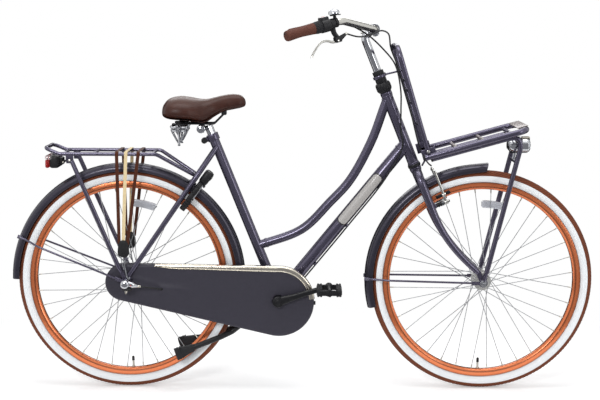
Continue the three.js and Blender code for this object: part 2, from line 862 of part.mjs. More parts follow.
function guard(centre, from, to) {
  const profile = [...guardProfile(0), ...guardProfile(-guardWall).reverse()];
  const ring = turned(profile, centre, left, guardSegments);
  const steps = range(7);
  const reach = 2 * guardOuterRadius;
  const sector = plate([[centre.x, centre.z], ...steps.map((i) => {
    const spot = along(centre, heading(THREE.MathUtils.lerp(from, to, i / (steps.length - 1))), reach);
    return [spot.x, spot.z];
  })], -guardHalfWidth - overrun, guardHalfWidth + overrun);
  return ring.intersect(sector);
}

// A wire stay from one axle end over the mudguard to the other, with an eye at each end.
function guardStay(centre, angle, outer) {
  const eyeSide = outer + stackEye + half(tabThick);
  const reach = guardOuterRadius + guardStayRadius + fitGap;
  const top = along(centre, heading(angle), reach);
  const start = along(centre, heading(angle), eyeRadius);
  const wire = bentTube([sided(start, -eyeSide), sided(top, -guardStaySide), sided(top, guardStaySide),
    sided(start, eyeSide)], guardStayRadius, 3 * guardStayRadius, 5, 2);
  const trimmed = sides.map((side) =>
    disc(centre, left, 2 * eyeRadius, side * (eyeSide + half(tabThick)), side * (eyeSide + 2 * tabThick)));
  const inner = sides.map((side) =>
    disc(centre, left, 2 * eyeRadius, side * (eyeSide - half(tabThick)), side * (eyeSide - 2 * tabThick)));
  const eyes = sides.map((side) =>
    disc(centre, left, eyeRadius + half(tabThick), side * (eyeSide - half(tabThick)),
      side * (eyeSide + half(tabThick))));
  const hole = disc(centre, left, axleRadius + fitGap, -eyeSide - tabThick, eyeSide + tabThick);
  return cut(join(cut(wire, trimmed, inner), eyes), hole);
}

function makeGuards() {
  const rearOut = toward(rearAxlePlace, bridgePlace);
  const rearPost = rod(along(rearAxlePlace, rearOut, guardOuterRadius - guardWall),
    along(bridgePlace, rearOut, -bridgeRadius - fitGap), guardPostRadius, 8);
  piece(frameGroup, "rear_mudguard", join(guard(rearAxlePlace, rearGuardStartAngle, rearGuardEndAngle),
    rearPost),
    guardPaint);
  piece(frameGroup, "rear_mudguard_stay", guardStay(rearAxlePlace, rearGuardStayAngle, dropoutOuter), steel);
  const postDown = forkLength - Math.sqrt(guardOuterRadius ** 2 - forkRake ** 2) + guardWall;
  const frontPost = rod(onHead(-postDown), onHead(-crownStubLength - fitGap), guardPostRadius, 8);
  piece(steeringGroup, "front_mudguard", join(guard(frontAxlePlace, frontGuardStartAngle, frontGuardEndAngle),
    frontPost),
    guardPaint);
  piece(steeringGroup, "front_mudguard_stay",
    guardStay(frontAxlePlace, frontGuardStayAngle, frontDropInner + frontDropThick), steel);
}
makeGuards();

// Fork: steerer, crown stub, two raked blades with dropouts, and the studs that carry the brake arms
function bladeRoute(side) {
  const tipDown = forkLength - bladeTipRise;
  const tipOut = forkRake - bladeTipBack;
  const curve = new THREE.QuadraticBezierCurve(
    new THREE.Vector2(bladeStraight, 0), new THREE.Vector2(half(bladeStraight + tipDown), 0),
    new THREE.Vector2(tipDown, tipOut));
  const lower = curve.getPoints(bladeSteps).map((p) => {
    const share = (p.x - bladeShoulderDrop) / (tipDown - bladeShoulderDrop);
    return onHead(-p.x, p.y, side * THREE.MathUtils.lerp(bladeTopSide, bladeTipSide, share));
  });
  return [onHead(-bladeTopRadius, 0, side * half(bladeTopRadius)),
    onHead(-half(bladeShoulderDrop) - half(bladeTopRadius), 0, side * (bladeTopSide - bladeTopRadius)),
    onHead(-bladeShoulderDrop - bladeTopRadius, 0, side * bladeTopSide), ...lower];
}

function makeFork() {
  const dropouts = sides.map((side) => {
    const tip = last(bladeRoute(side));
    const inner = side * frontDropInner;
    const outer = side * (frontDropInner + frontDropThick);
    return join(
      disc(frontAxlePlace, left, frontDropRadius, inner, outer),
      block(sided(tip.clone().lerp(frontAxlePlace, 0.5), side * (frontDropInner + half(frontDropThick))),
        [tip.distanceTo(sided(frontAxlePlace, tip.y)) + bladeTipRadius, frontDropThick, bladeTipRadius * 2],
        toward(sided(tip, 0), frontAxlePlace), toward(sided(tip, 0), frontAxlePlace).cross(left)),
    );
  });
  const studs = sides.map((side) => rod(onHead(-armPivotDown, 0, side * armPivotSide),
    onHead(-armPivotDown, armPivotOut + armBossLength, side * armPivotSide), armStudRadius, 8));
  const outer = join(
    rod(onHead(-crownStubLength), onHead(0), crownStubRadius, 14),
    rod(onHead(-crownRaceThick), onHead(0), crownRaceRadius, 14),
    rod(onHead(-crownRaceThick), onHead(steererTop), steererRadius, 12),
    sides.map((side) => taperedTube(bladeRoute(side), bladeTopRadius, bladeTipRadius, 8)),
    dropouts, studs);
  piece(steeringGroup, "fork", cut(outer,
    rod(onHead(crownRaceThick - crownStubLength), onHead(steererTop + overrun),
      clearOf(quillRadius + fitGap, 12), 12),
    disc(frontAxlePlace, left, axleRadius + fitGap, -frontDropInner - 2 * frontDropThick,
      frontDropInner + 2 * frontDropThick)),
  framePaint);
}
makeFork();

// Headset: the knobbed cap and the ring above the head tube
function makeHeadset() {
  const capTop = headTubeTop + fitGap + headsetCapHeight;
  const cap = turned([[0, headTubeTop + fitGap], [headTubeRadius, headTubeTop + fitGap],
    [headsetCapRadius, headTubeTop + 0.3 * headsetCapHeight],
      [headsetCapRadius, headTubeTop + 0.8 * headsetCapHeight],
    [headsetRingRadius, capTop], [0, capTop]], crownRace, headUp, headsetCorners);
  const ring = rod(onHead(headTubeTop + half(headsetCapHeight)), onHead(headsetTop), headsetRingRadius, 16);
  const bore = rod(onHead(0), onHead(headsetTop + overrun), clearOf(steererRadius + fitGap, 16), 16);
  piece(steeringGroup, "headset_upper", cut(join(cap, ring), bore), blackPlastic);
}
makeHeadset();

// Stem and handlebar
const barClamp = onHead(barClampAlong, barClampOut);
const barCorner = (side) => point(barClamp.x - barCornerBack, side * barCornerSide,
  barClamp.z + barCornerRise);
const barEnd = (side) => point(barClamp.x - barEndBack, side * barEndSide, barClamp.z - barEndDrop);
const onGrip = (side, distance) => along(barEnd(side), toward(barEnd(side), barCorner(side)), distance);
const gripLine = (side) => toward(barEnd(side), barCorner(side));
const gripUp = uprightFrom(gripLine(-1));
const gripSide = gripLine(-1).clone().cross(gripUp).normalize();

function makeStem() {
  const clampBore = disc(barClamp, left, clearOf(barCentreRadius + fitGap, 14), -barClampHalf - overrun,
    barClampHalf + overrun, 14);
  const body = join(
    rod(onHead(steererTop - quillDepth), onHead(headsetTop + overrun), quillRadius, 14),
    rod(onHead(headsetTop + fitGap), onHead(stemTop), stemRadius, 14),
    rod(onHead(stemTop - stemRadius), barClamp, stemRadius, 12),
    disc(barClamp, left, barClampRadius, -barClampHalf, barClampHalf, 14));
  piece(steeringGroup, "stem", cut(body, clampBore), chrome);
}
makeStem();

function makeHandlebar() {
  const points = [barEnd(-1), barCorner(-1), sided(barClamp, -barCentreHalf), sided(barClamp, barCentreHalf),
    barCorner(1), barEnd(1)];
  const body = join(bentTube(points, barRadius, barBend, 8, 3),
    disc(barClamp, left, barCentreRadius, -barClampHalf - rootOverlap, barClampHalf + rootOverlap, 14));
  piece(steeringGroup, "handlebar", body, chrome);
}
makeHandlebar();

// A sleeve round the bar: a list of distance from the bar's end and outer radius.
function sleeve(side, steps, segments = 12) {
  const bore = clearOf(barRadius + fitGap, segments);
  const from = steps[0][0];
  const to = last(steps)[0];
  return turned([[bore, from], ...steps.map(([distance, radius]) => [radius, distance]), [bore, to]],
    barEnd(side), gripLine(side), segments);
}

const twistFrom = gripLength + fitGap;
const housingFrom = twistFrom + twistLength + fitGap;
function makeGrips() {
  piece(steeringGroup, "grip_right", sleeve(-1, [[-gripOverhang, gripEndRadius], [gripLipLength, gripRadius],
    [half(gripLength), gripEndRadius], [gripLength, gripRadius]]), gripRubber);
  piece(steeringGroup, "grip_left", sleeve(1, [[-gripOverhang, gripEndRadius], [gripLipLength, gripRadius],
    [half(leftGripLength), gripEndRadius], [leftGripLength, gripRadius]]), gripRubber);
  piece(steeringGroup, "shifter_twist", sleeve(-1,
    [[twistFrom, gripRadius], [twistFrom + half(twistLength), twistRadius],
    [twistFrom + twistLength, twistRadius]]), blackPlastic);
  const housing = sleeve(-1, [[housingFrom, housingRadius], [housingFrom + housingLength, housingRadius]]);
  const display = block(along(onGrip(-1, housingFrom + half(housingLength)), gripUp, housingRadius),
    [housingLength, housingRadius, housingBoxHeight], gripLine(-1), gripUp);
  piece(steeringGroup, "shifter_housing", join(housing, display), blackPlastic);
}
makeGrips();

// Front brake lever: bracket with two ears, and the lever on its pin
const leverPivot = along(onGrip(-1, bracketPlace + leverPinAhead), gripUp, -bracketDrop);
const bracketNose = along(along(leverPivot, gripLine(-1), bracketNoseLength), gripUp, bracketNoseRise);

function makeBrakeLever() {
  const ring = sleeve(-1, [[bracketPlace - half(bracketWidth), bracketRingRadius],
    [bracketPlace + half(bracketWidth), bracketRingRadius]]);
  const barHole = rod(onGrip(-1, bracketPlace - bracketWidth), onGrip(-1, bracketPlace + bracketWidth),
    clearOf(barRadius + fitGap, 12), 12);
  const neck = rod(along(onGrip(-1, bracketPlace), gripUp, -barRadius - rootOverlap), leverPivot,
    bracketBodyRadius, 6);
  const nose = rod(leverPivot, bracketNose, bracketBodyRadius, 6, half(bracketBodyRadius));
  const slot = block(along(leverPivot, gripLine(-1), -bracketBodyRadius),
    [4 * bracketBodyRadius, leverEarGap, 3 * bracketBodyRadius], gripLine(-1), gripUp);
  const pin = rod(along(leverPivot, gripSide, -bracketBodyRadius + faceOverlap),
    along(leverPivot, gripSide, bracketBodyRadius - faceOverlap), leverPinRadius, 8);
  piece(steeringGroup, "brake_bracket", join(cut(join(ring, neck, nose), barHole, slot), pin), blackPlastic);
  const lever = join(
    disc(leverPivot, gripSide, leverRadius + leverPinRadius, -half(leverEarGap) + runningGap,
      half(leverEarGap) - runningGap, 12),
    swept(leverSection(), rounded([leverPivot,
      along(along(leverPivot, gripLine(-1), -0.35 * leverReach), gripUp, 0.6 * leverDrop),
      along(along(leverPivot, gripLine(-1), -0.55 * leverReach), gripUp, 0.5 * leverDrop),
      along(along(leverPivot, gripLine(-1), -leverReach), gripUp, -1.6 * leverDrop)], 3 * leverRadius, 3)));
  const pinHole = disc(leverPivot, gripSide, leverPinRadius + fitGap, -leverEarGap, leverEarGap, 12);
  piece(steeringGroup, "brake_lever", cut(lever, pinHole), chrome);
}
const leverSection = () => circle(half(leverEarGap) - runningGap, 8);
makeBrakeLever();

// Bell: clamp and base, domed shell above it, and the thumb lever
function makeBell() {
  const seat = onGrip(-1, bellPlace);
  const ring = sleeve(-1, [[bellPlace - half(bellRingWidth), bracketRingRadius],
    [bellPlace + half(bellRingWidth), bracketRingRadius]]);
  const post = rod(along(seat, gripUp, barRadius + rootOverlap), along(seat, gripUp, bellRise),
    bellLeverRadius * 2, 8);
  const base = disc(seat, gripUp, bellBaseRadius, bellRise - bellBaseThick, bellRise, 12);
  const pin = disc(seat, gripUp, bellLeverRadius, bellRise - faceOverlap, bellRise + bellDomeHeight - fitGap,
    8);
  piece(steeringGroup, "bell_base", join(ring, post, base, pin), blackPlastic);
  const start = bellRise + fitGap;
  const inner = bellRadius - bellWall;
  const dome = turned([[bellLeverRadius + fitGap, start + bellDomeHeight - bellWall],
    [0.7 * inner, start + 0.75 * bellDomeHeight],
    [inner, start + 0.2 * bellDomeHeight], [inner, start], [bellRadius, start],
      [bellRadius, start + 0.2 * bellDomeHeight],
    [0.72 * bellRadius, start + 0.85 * bellDomeHeight], [bellLeverRadius + fitGap, start + bellDomeHeight]],
  seat, gripUp, 16);
  piece(steeringGroup, "bell_dome", dome, chrome);
  const tip = along(along(seat, gripUp, bellRise - half(bellBaseThick)), gripSide,
    bellBaseRadius + fitGap + bellLeverRadius);
  piece(steeringGroup, "bell_lever", rod(tip, along(tip, gripSide, bellLeverLength), bellLeverRadius, 6),
    blackPlastic);
}
makeBell();

// Front brake arms, each turning on its stud, with a pad beside the rim
function makeBrakeArms() {
  sides.forEach((side) => {
    const out = armPivotOut;
    const pivot = onHead(-armPivotDown, out, side * armPivotSide);
    const lean = along(headUp, left, side * Math.tan(radians(armLeanAngle))).normalize();
    const centre = along(pivot, lean, half(armLength));
    const padCentre = onHead(-armPivotDown + padUp, out, side * (rimHalfWidth + padGap + half(padThick)));
    const arm = join(
      disc(pivot, headOut, armBossRadius, -half(armBossLength), half(armBossLength), 12),
      block(centre, [armWidth, armThick, armLength], headOut, lean),
      rod(padCentre, onHead(-armPivotDown + padUp, out, side * (armPivotSide + half(armThick))),
        half(armThick), 8),
      block(padCentre, [padLength, padThick, padHeight],
        toward(sided(padCentre, 0), frontAxlePlace).cross(left),
        toward(frontAxlePlace, sided(padCentre, 0))));
    const bore = disc(pivot, headOut, armStudRadius + fitGap, -armBossLength, armBossLength, 12);
    piece(steeringGroup, side < 0 ? "front_brake_arm_right" : "front_brake_arm_left", cut(arm, bore), steel);
  });
}
makeBrakeArms();

// Front carrier: deck, back frame with rungs, and the legs to the front axle
const deckAlong = heading(deckTiltAngle);
const deckUp = heading(deckTiltAngle + 90);
const onDeck = (distance, side = 0, up = 0) =>
  along(along(point(deckRear, side, deckRearHeight), deckAlong, distance), deckUp, up);
const backUp = heading(backTiltAngle);
const onBack = (distance, side = 0) => along(onDeck(backFootAlong, side, deckTubeRadius + fitGap), backUp,
  distance);

const deckBars = (grown) => deckBarPlaces.map((place) => rod(onDeck(place, -deckHalfWidth, -deckBarDrop),
  onDeck(place, deckHalfWidth, -deckBarDrop), deckBarRadius + grown, 6));

function makeFrontCarrier() {
  const rail = bentTube([onDeck(0, -deckHalfWidth), onDeck(deckLength, -deckHalfWidth),
    onDeck(deckLength, deckHalfWidth),
    onDeck(0, deckHalfWidth)], deckTubeRadius, deckCorner, 8);
  const bars = deckBars(0);
  const strutFoot = onHead(-half(crownRaceThick), crownRaceRadius + strutRadius + fitGap);
  const strut = rod(onDeck(deckBarPlaces[0], 0, -deckBarDrop), strutFoot, strutRadius, 8);
  piece(steeringGroup, "front_carrier_deck", join(rail, bars, strut), framePaint);

  const backHalf = deckHalfWidth;
  const side = bentTube([onBack(0, -backHalf), onBack(backHeight, -backHalf), onBack(backHeight, backHalf),
    onBack(0, backHalf)],
    backTubeRadius, deckCorner, 8);
  const rungs = backRungPlaces.map((place) => rod(onBack(place, -backHalf), onBack(place, backHalf),
    backRungRadius, 5));
  const ringFace = onHead(strutHeadAlong, headsetRingRadius + strutRadius + fitGap);
  const headStrut = rod(onBack(last(backRungPlaces)), ringFace, strutRadius, 8);
  piece(steeringGroup, "front_carrier_back", join(side, rungs, headStrut), framePaint);

  const drop = -deckBarDrop - deckBarRadius - legRadius + legOverlap;
  const legs = sides.map((s) => {
    const foot = sided(frontAxlePlace, s * (frontDropInner + frontDropThick + stackTab + half(tabThick)));
    const ankle = along(sided(foot, s * (frontDropInner + frontDropThick + stackTab + legRadius)),
      toward(sided(foot, 0), onDeck(legKneeAlong)), legFootRise + legTabRadius);
    return join(
      bentTube([onDeck(legRearAlong, s * legSide, drop), onDeck(legKneeAlong, s * legSide, drop), ankle],
        legRadius, legBend),
      disc(foot, left, legTabRadius, -half(tabThick), half(tabThick)),
      block(foot.clone().lerp(sided(ankle, foot.y), 0.5),
        [tabThick * 3, tabThick, sided(foot, 0).distanceTo(sided(ankle, 0))],
        toward(sided(foot, 0), sided(ankle, 0)).cross(left).negate(),
          toward(sided(foot, 0), sided(ankle, 0))));
  });
  const braceTop = onDeck(legKneeAlong, 0, drop);
  const brace = braceTop.clone().lerp(frontAxlePlace, legBraceShare);
  const braceRod = rod(sided(brace, -legSide), sided(brace, legSide), legBraceRadius, 8);
  const rearBrace = rod(onDeck(legRearAlong + 2 * legRadius, -legSide, drop),
    onDeck(legRearAlong + 2 * legRadius, legSide, drop),
    legBraceRadius, 8);
  const hole = disc(frontAxlePlace, left, axleRadius + fitGap, -2 * legSide, 2 * legSide);
  piece(steeringGroup, "front_carrier_legs", cut(join(legs, braceRod, rearBrace), hole, deckBars(fitGap)),
    framePaint);

  const lampBack = onDeck(headlightAlong, 0, -headlightDrop);
  const lampRear = point(lampBack.x - half(headlightLength), 0, lampBack.z);
  const lamp = turned([[0, 0], [0.55 * headlightRadius, 0.05 * headlightLength],
    [headlightRadius, 0.4 * headlightLength],
    [headlightRadius, 0.8 * headlightLength], [0.8 * headlightRadius, headlightLength], [0, headlightLength]],
  lampRear, heading(0), 20);
  const lampPost = rod(sided(lampBack, 0), along(brace, toward(brace, lampBack), legBraceRadius + fitGap),
    headlightPostRadius, 8);
  piece(steeringGroup, "headlight", join(lamp, lampPost), chrome);
}
makeFrontCarrier();

// Saddle: cover, rails with the spring plates, two springs; seat post with its clamp head; seat clamp
const saddleClamp = along(along(onSeat(postTop), heading(180), saddleClampBehind), heading(-90),
  saddleClampBelow);
const railHeight = saddleClamp.z + saddleClampRadius + railRadius + fitGap;
const springPlace = (side) => point(saddleClamp.x - springBehind, side * springSide, railHeight);

function makeSeatPost() {
  const body = join(
    rod(onSeat(seatTubeLength - postDepth), onSeat(postTop), seatPostRadius, 12),
    disc(saddleClamp, left, saddleClampRadius, -saddleClampHalf, saddleClampHalf));
  piece(frameGroup, "seatpost", body, chrome);
  const from = seatTubeLength - clampHeight;
  const bore = clearOf(seatTubeRadius + fitGap, 16);
  const ring = turned([[bore, from], [seatTubeRadius + clampWall, from],
    [seatTubeRadius + clampWall, seatTubeLength], [bore, seatTubeLength]], crankPlace, seatUp, 16);
  const middle = onSeat(from + half(clampHeight));
  const back = heading(seatAngle + 90);
  const lug = rod(along(middle, back, seatTubeRadius + faceOverlap), along(middle, back, clampKnobReach),
    half(clampHeight) - rootOverlap, 8);
  const knob = disc(along(middle, back, clampKnobReach), left, clampKnobRadius, -clampKnobRadius,
    clampKnobRadius, 12);
  piece(frameGroup, "seat_clamp", join(ring, lug, knob), blackPlastic);
}
makeSeatPost();

function makeSaddle() {
  const start = point(saddleClamp.x - saddleRearBehind, 0, saddleClamp.z + saddleBaseRise);
  const corners = saddleShares.flatMap(([place, width, top, bottom]) => {
    const x = start.x + place * saddleLength;
    const high = start.z + top * saddleHeight;
    const low = start.z + bottom * saddleHeight;
    const middle = THREE.MathUtils.lerp(low, high, 0.35);
    return range(saddleAroundPoints).map((i) => {
      const angle = (2 * Math.PI * i) / saddleAroundPoints;
      const y = width * saddleHalfWidth * Math.sign(Math.cos(angle)) * Math.abs(Math.cos(angle)) ** 0.7;
      const rise = Math.sin(angle);
      const z = rise > 0 ? middle + (high - middle) * rise ** 0.85 : middle + (middle - low) * rise;
      return point(x, y, z);
    });
  });
  const cover = loft(corners, saddleAroundPoints);
  const rails = railBody(0);
  piece(frameGroup, "saddle_cover", cut(cover, railBody(fitGap)), brownLeather);
  piece(frameGroup, "saddle_rails", rails, steel);
}

// The two rail wires, the bars that tie them and the plates over the springs, at a grown radius.
function railBody(grown) {
  const nose = point(saddleClamp.x + railNoseAhead, 0, railHeight + railNoseRise);
  const wires = sides.map((side) => bentTube([
    sided(nose, side * half(railSide)),
    point(saddleClamp.x + railFrontAhead, side * railSide, railHeight),
    point(saddleClamp.x - railRearBehind, side * railSide, railHeight),
    sided(springPlace(side), side * railRearSide),
  ], railRadius + grown, railBend, 6, 3));
  const plates = sides.map((side) => block(springPlace(side), [2 * springPlateHalf, springPlateHalf + grown,
    2 * (railRadius + grown)]));
  return join(wires, plates,
    rod(sided(nose, -half(railSide)), sided(nose, half(railSide)), railRadius + grown, 6),
    rod(springPlace(-1), springPlace(1), railRadius + grown, 6));
}

function makeSprings() {
  sides.forEach((side) => {
    const top = along(springPlace(side), heading(-90), railRadius + fitGap);
    const down = heading(-90);
    const inner = springTopRadius - springBand;
    const ring = (depth) =>
      turned([[inner, depth], [springTopRadius, depth], [springTopRadius, depth + springBand],
      [inner, depth + springBand]], top, down, 12);
    const reach = springTopRadius - half(springBand);
    const start = along(top, down, half(springBand));
    const wires = range(springWires).map((i) => {
      const angle = (2 * Math.PI * i) / springWires;
      const out = point(Math.cos(angle), Math.sin(angle), 0);
      return rod(along(start, out, reach), along(along(top, down, springHeight), out, half(springWire)),
        springWire, 4);
    });
    const bar = rod(along(start, heading(0), reach), along(start, heading(0), -reach), springWire, 4);
    const tip = disc(top, down, springTipRadius, springHeight - springBand, springHeight + springBand, 8);
    piece(frameGroup, side < 0 ? "saddle_spring_right" : "saddle_spring_left",
      join(ring(0), ring(springRingPitch), wires, bar, tip), chrome);
  });
}
makeSaddle();
makeSprings();

// Rear carrier with its hoop and legs, the luggage straps over it and the tail light below it
const carrierBar = (x, grown) => rod(point(x, -carrierHalfWidth, carrierDeckHeight),
  point(x, carrierHalfWidth, carrierDeckHeight), carrierBarRadius + grown, 6);

function makeRearCarrier() {
  const frontEnd = (() => {
    const bendPoint = point(carrierDeckFront, 0, carrierDeckHeight);
    const direction = toward(bendPoint, bridgePlace);
    return along(bridgePlace, direction, -bridgeRadius - carrierRailRadius - fitGap);
  })();
  const rail = bentTube([
    sided(frontEnd, -carrierFrontSide), point(carrierDeckFront, -carrierHalfWidth, carrierDeckHeight),
    point(carrierDeckRear, -carrierHalfWidth, carrierDeckHeight),
    point(carrierHoopRear, -carrierHalfWidth, carrierDeckHeight + carrierHoopRise),
    point(carrierHoopRear, carrierHalfWidth, carrierDeckHeight + carrierHoopRise),
    point(carrierDeckRear, carrierHalfWidth, carrierDeckHeight),
    point(carrierDeckFront, carrierHalfWidth, carrierDeckHeight), sided(frontEnd, carrierFrontSide),
  ], carrierRailRadius, carrierBend, 6, 2);
  const bars = carrierBarPlaces.map((x) => carrierBar(x, 0));
  const frontBar = rod(sided(frontEnd, -carrierFrontSide), sided(frontEnd, carrierFrontSide),
    carrierRailRadius, 8);
  const legSideTop = carrierHalfWidth;
  const legs = sides.map((side) => {
    const tabSide = side * (dropoutOuter + stackTab + half(tabThick));
    const foot = sided(rearAxlePlace, tabSide);
    const ankle = point(rearAxlePlace.x - carrierLegFootBack,
      side * (dropoutOuter + stackTab + carrierLegRadius),
      rearAxlePlace.z + carrierLegFootRise);
    const top = point(carrierLegTop, side * legSideTop, carrierDeckHeight);
    return join(
      rod(ankle, top, carrierLegRadius, 6),
      disc(foot, left, carrierLegRadius * 1.8, -half(tabThick), half(tabThick)),
      block(foot.clone().lerp(sided(ankle, tabSide), 0.5), [2 * carrierLegRadius, tabThick,
        foot.distanceTo(sided(ankle, tabSide)) + carrierLegRadius],
      toward(sided(foot, 0), sided(ankle, 0)).cross(left).negate(), toward(sided(foot, 0), sided(ankle, 0))),
      block(point(carrierLegTop + half(carrierRailRadius), side * legSideTop,
        carrierDeckHeight - half(gussetHeight)),
        [gussetLength, gussetThick, gussetHeight]));
  });
  const hole = disc(rearAxlePlace, left, axleRadius + fitGap, -2 * dropoutOuter, 2 * dropoutOuter);
  piece(frameGroup, "rear_carrier", cut(join(rail, bars, frontBar, legs), hole), framePaint);
  makeStraps();
  makeTailLight();
}

// A flat band through stations, with its width along X.
function ribbon(stations, width, thick) {
  const route = new Route(stations);
  const corners = stations.flatMap((centre, i) => {
    const tangent = route.getTangentAt(i / (stations.length - 1));
    const face = heading(0).cross(tangent).normalize();
    const across = tangent.clone().cross(face).normalize();
    return [[-1, -1], [1, -1], [1, 1], [-1, 1]].map(([u, v]) =>
      along(along(centre, across, half(u * width)), face, half(v * thick)));
  });
  return loft(corners, 4);
}

// Three flat straps cross the deck and meet in an end piece with a wire hook on each side.
function makeStraps() {
  const wrap = (carrierRailRadius + half(strapThick) + runningGap) / Math.cos(radians(22.5));
  const strands = strapPlaces.map((x, i) => {
    const side = (s) => [point(strapEndPlaces[i], s * strapLowSide, strapEndTop - strapWidth),
      ...[0, 45, 90].map((angle) => point(x, s * (carrierHalfWidth + wrap * Math.cos(radians(angle))),
        carrierDeckHeight + wrap * Math.sin(radians(angle))))];
    return ribbon([...side(-1), ...side(1).reverse()], strapWidth, strapThick);
  });
  const ends = sides.map((s) => {
    const middle = point(strapEndPlaces[1], s * strapLowSide, strapEndTop - half(strapEndHeight));
    return join(block(middle, [strapEndLength, strapEndThick, strapEndHeight]),
      rod(middle, point(strapEndPlaces[2] - strapHookRadius, s * strapLowSide, strapHookFoot),
        strapHookRadius, 6));
  });
  piece(frameGroup, "luggage_straps", join(strands, ends), webbing);
}

function makeTailLight() {
  const rear = carrierHoopRear - tailLightDrop;
  const top = carrierDeckHeight - tailLightDrop;
  const outline = new THREE.Shape(range(4).flatMap((k) => {
    const cx = (k === 0 || k === 3 ? 1 : -1) * (tailLightHalf - tailLightRound);
    const cy = (k < 2 ? 1 : -1) * (half(tailLightHeight) - tailLightRound);
    return range(4).map((i) => {
      const angle = radians(90 * k + 30 * i);
      return new THREE.Vector2(cx + tailLightRound * Math.cos(angle), cy + tailLightRound * Math.sin(angle));
    });
  }));
  const geometry = new THREE.ExtrudeGeometry(outline, { depth: tailLightLength, bevelEnabled: false });
  const turn = new THREE.Matrix4().makeBasis(point(0, 1, 0), point(0, 0, 1), point(1, 0, 0))
    .setPosition(rear, 0, top - half(tailLightHeight));
  const body = solid(geometry.applyMatrix4(turn));
  const barX = carrierBarPlaces[0];
  const middle = top - half(tailLightHeight);
  const arm = block(point(half(barX + rear + tailLightLength), 0, middle),
    [barX - rear - tailLightLength + 2 * gussetThick, gussetLength, gussetThick]);
  const riser = block(point(barX, 0, half(carrierDeckHeight + middle)),
    [gussetThick, gussetLength, carrierDeckHeight - middle + gussetThick]);
  piece(frameGroup, "tail_light", cut(join(body, arm, riser), carrierBar(barX, fitGap)), blackPlastic);
}
makeRearCarrier();

// Frame lock: a horseshoe body round the tyre and its ring shackle, both in a plane along a wheel radius
const lockOut = heading(lockAngle);
const lockNormal = heading(lockAngle - 90);
const lockCentre = along(rearAxlePlace, lockOut, lockReach);
const onLock = (radius, degrees, depth = 0) => {
  const angle = radians(degrees);
  return along(along(along(lockCentre, left, radius * Math.sin(angle)), lockOut, radius * Math.cos(angle)),
    lockNormal, depth);
};

// A flat band between two radii and two angles about the ring's centre.
function arcBand(inner, outer, from, to, steps) {
  const arc = (radius) => range(steps + 1).map((i) => {
    const angle = radians(THREE.MathUtils.lerp(from, to, i / steps));
    return new THREE.Vector2(radius * Math.sin(angle), radius * Math.cos(angle));
  });
  return new THREE.Shape([...arc(outer), ...arc(inner).reverse()]);
}

function makeLock() {
  const halfSpan = 180 - lockOpeningAngle;
  const geometry = new THREE.ExtrudeGeometry(arcBand(lockInner, lockOuter, -halfSpan, halfSpan, lockSteps),
    { depth: lockBack + lockFront, bevelEnabled: false });
  const turn = new THREE.Matrix4().makeBasis(left, lockOut, lockNormal)
    .setPosition(along(lockCentre, lockNormal, -lockBack));
  const ringBody = solid(geometry.applyMatrix4(turn));
  const headReach = lockHeadReach - lockInner - half(lockOuter - lockInner);
  const head = block(along(along(lockCentre, lockOut, lockHeadReach - half(headReach)), lockNormal,
    half(lockFront - lockBack)),
    [2 * lockHeadHalf, lockBack + lockFront, headReach], left, lockOut);
  const channel = shackleRadius + runningGap;
  const tunnel = turned([[shackleRing - channel, -channel], [shackleRing + channel, -channel],
    [shackleRing + channel, channel], [shackleRing - channel, channel]], lockCentre, lockNormal, 30);
  const knobAngle = shackleSpanAngle - halfSpan - shackleKnobInsetAngle;
  const slot = solid(new THREE.ExtrudeGeometry(
    arcBand(shackleRing - channel, shackleRing + channel,
      knobAngle - shackleTurnAngle - shackleKnobInsetAngle,
      knobAngle + shackleKnobInsetAngle, lockSteps),
    { depth: lockFront + overrun, bevelEnabled: false },
  ).applyMatrix4(new THREE.Matrix4().makeBasis(left, lockOut, lockNormal).setPosition(lockCentre)));
  piece(frameGroup, "lock_body", cut(join(ringBody, head), tunnel, slot), blackPlastic);
  const bow = tube(range(lockSteps + 1).map((i) =>
    onLock(shackleRing, (shackleSpanAngle * i) / lockSteps - halfSpan)), shackleRadius, 6);
  const knob = join(
    rod(onLock(shackleRing, knobAngle), onLock(shackleRing, knobAngle, lockFront + shackleKnobReach),
      shackleRadius, 8),
    rod(onLock(shackleRing, knobAngle, lockFront + half(shackleKnobReach)),
      onLock(shackleRing, knobAngle, lockFront + shackleKnobReach), shackleKnobRadius, 8));
  piece(frameGroup, "lock_shackle", join(bow, knob), steel);
}
makeLock();

// Chaincase: an outer and an inner shell that meet at a seam, and the bright trim along the top edge
function caseOutline(inset) {
  const front = point(crankForward + caseFrontAhead, 0, crankPlace.z - caseFrontDrop);
  const rear = point(-caseRearBehind, 0, wheelRadius - caseRearDrop);
  const frontRadius = caseFrontRadius - inset;
  const rearRadius = caseRearRadius - inset;
  const gap = Math.hypot(front.x - rear.x, front.z - rear.z);
  const base = THREE.MathUtils.radToDeg(Math.atan2(front.z - rear.z, front.x - rear.x));
  const tilt = THREE.MathUtils.radToDeg(Math.acos((rearRadius - frontRadius) / gap));
  const arc = (centre, radius, from, to) => range(caseArcSteps + 1).map((i) => {
    const spot = along(centre, heading(THREE.MathUtils.lerp(from, to, i / caseArcSteps)), radius);
    return [spot.x, spot.z];
  });
  return [...arc(front, frontRadius, base - tilt, base + tilt),
    ...arc(rear, rearRadius, base + tilt, base + 360 - tilt)];
}

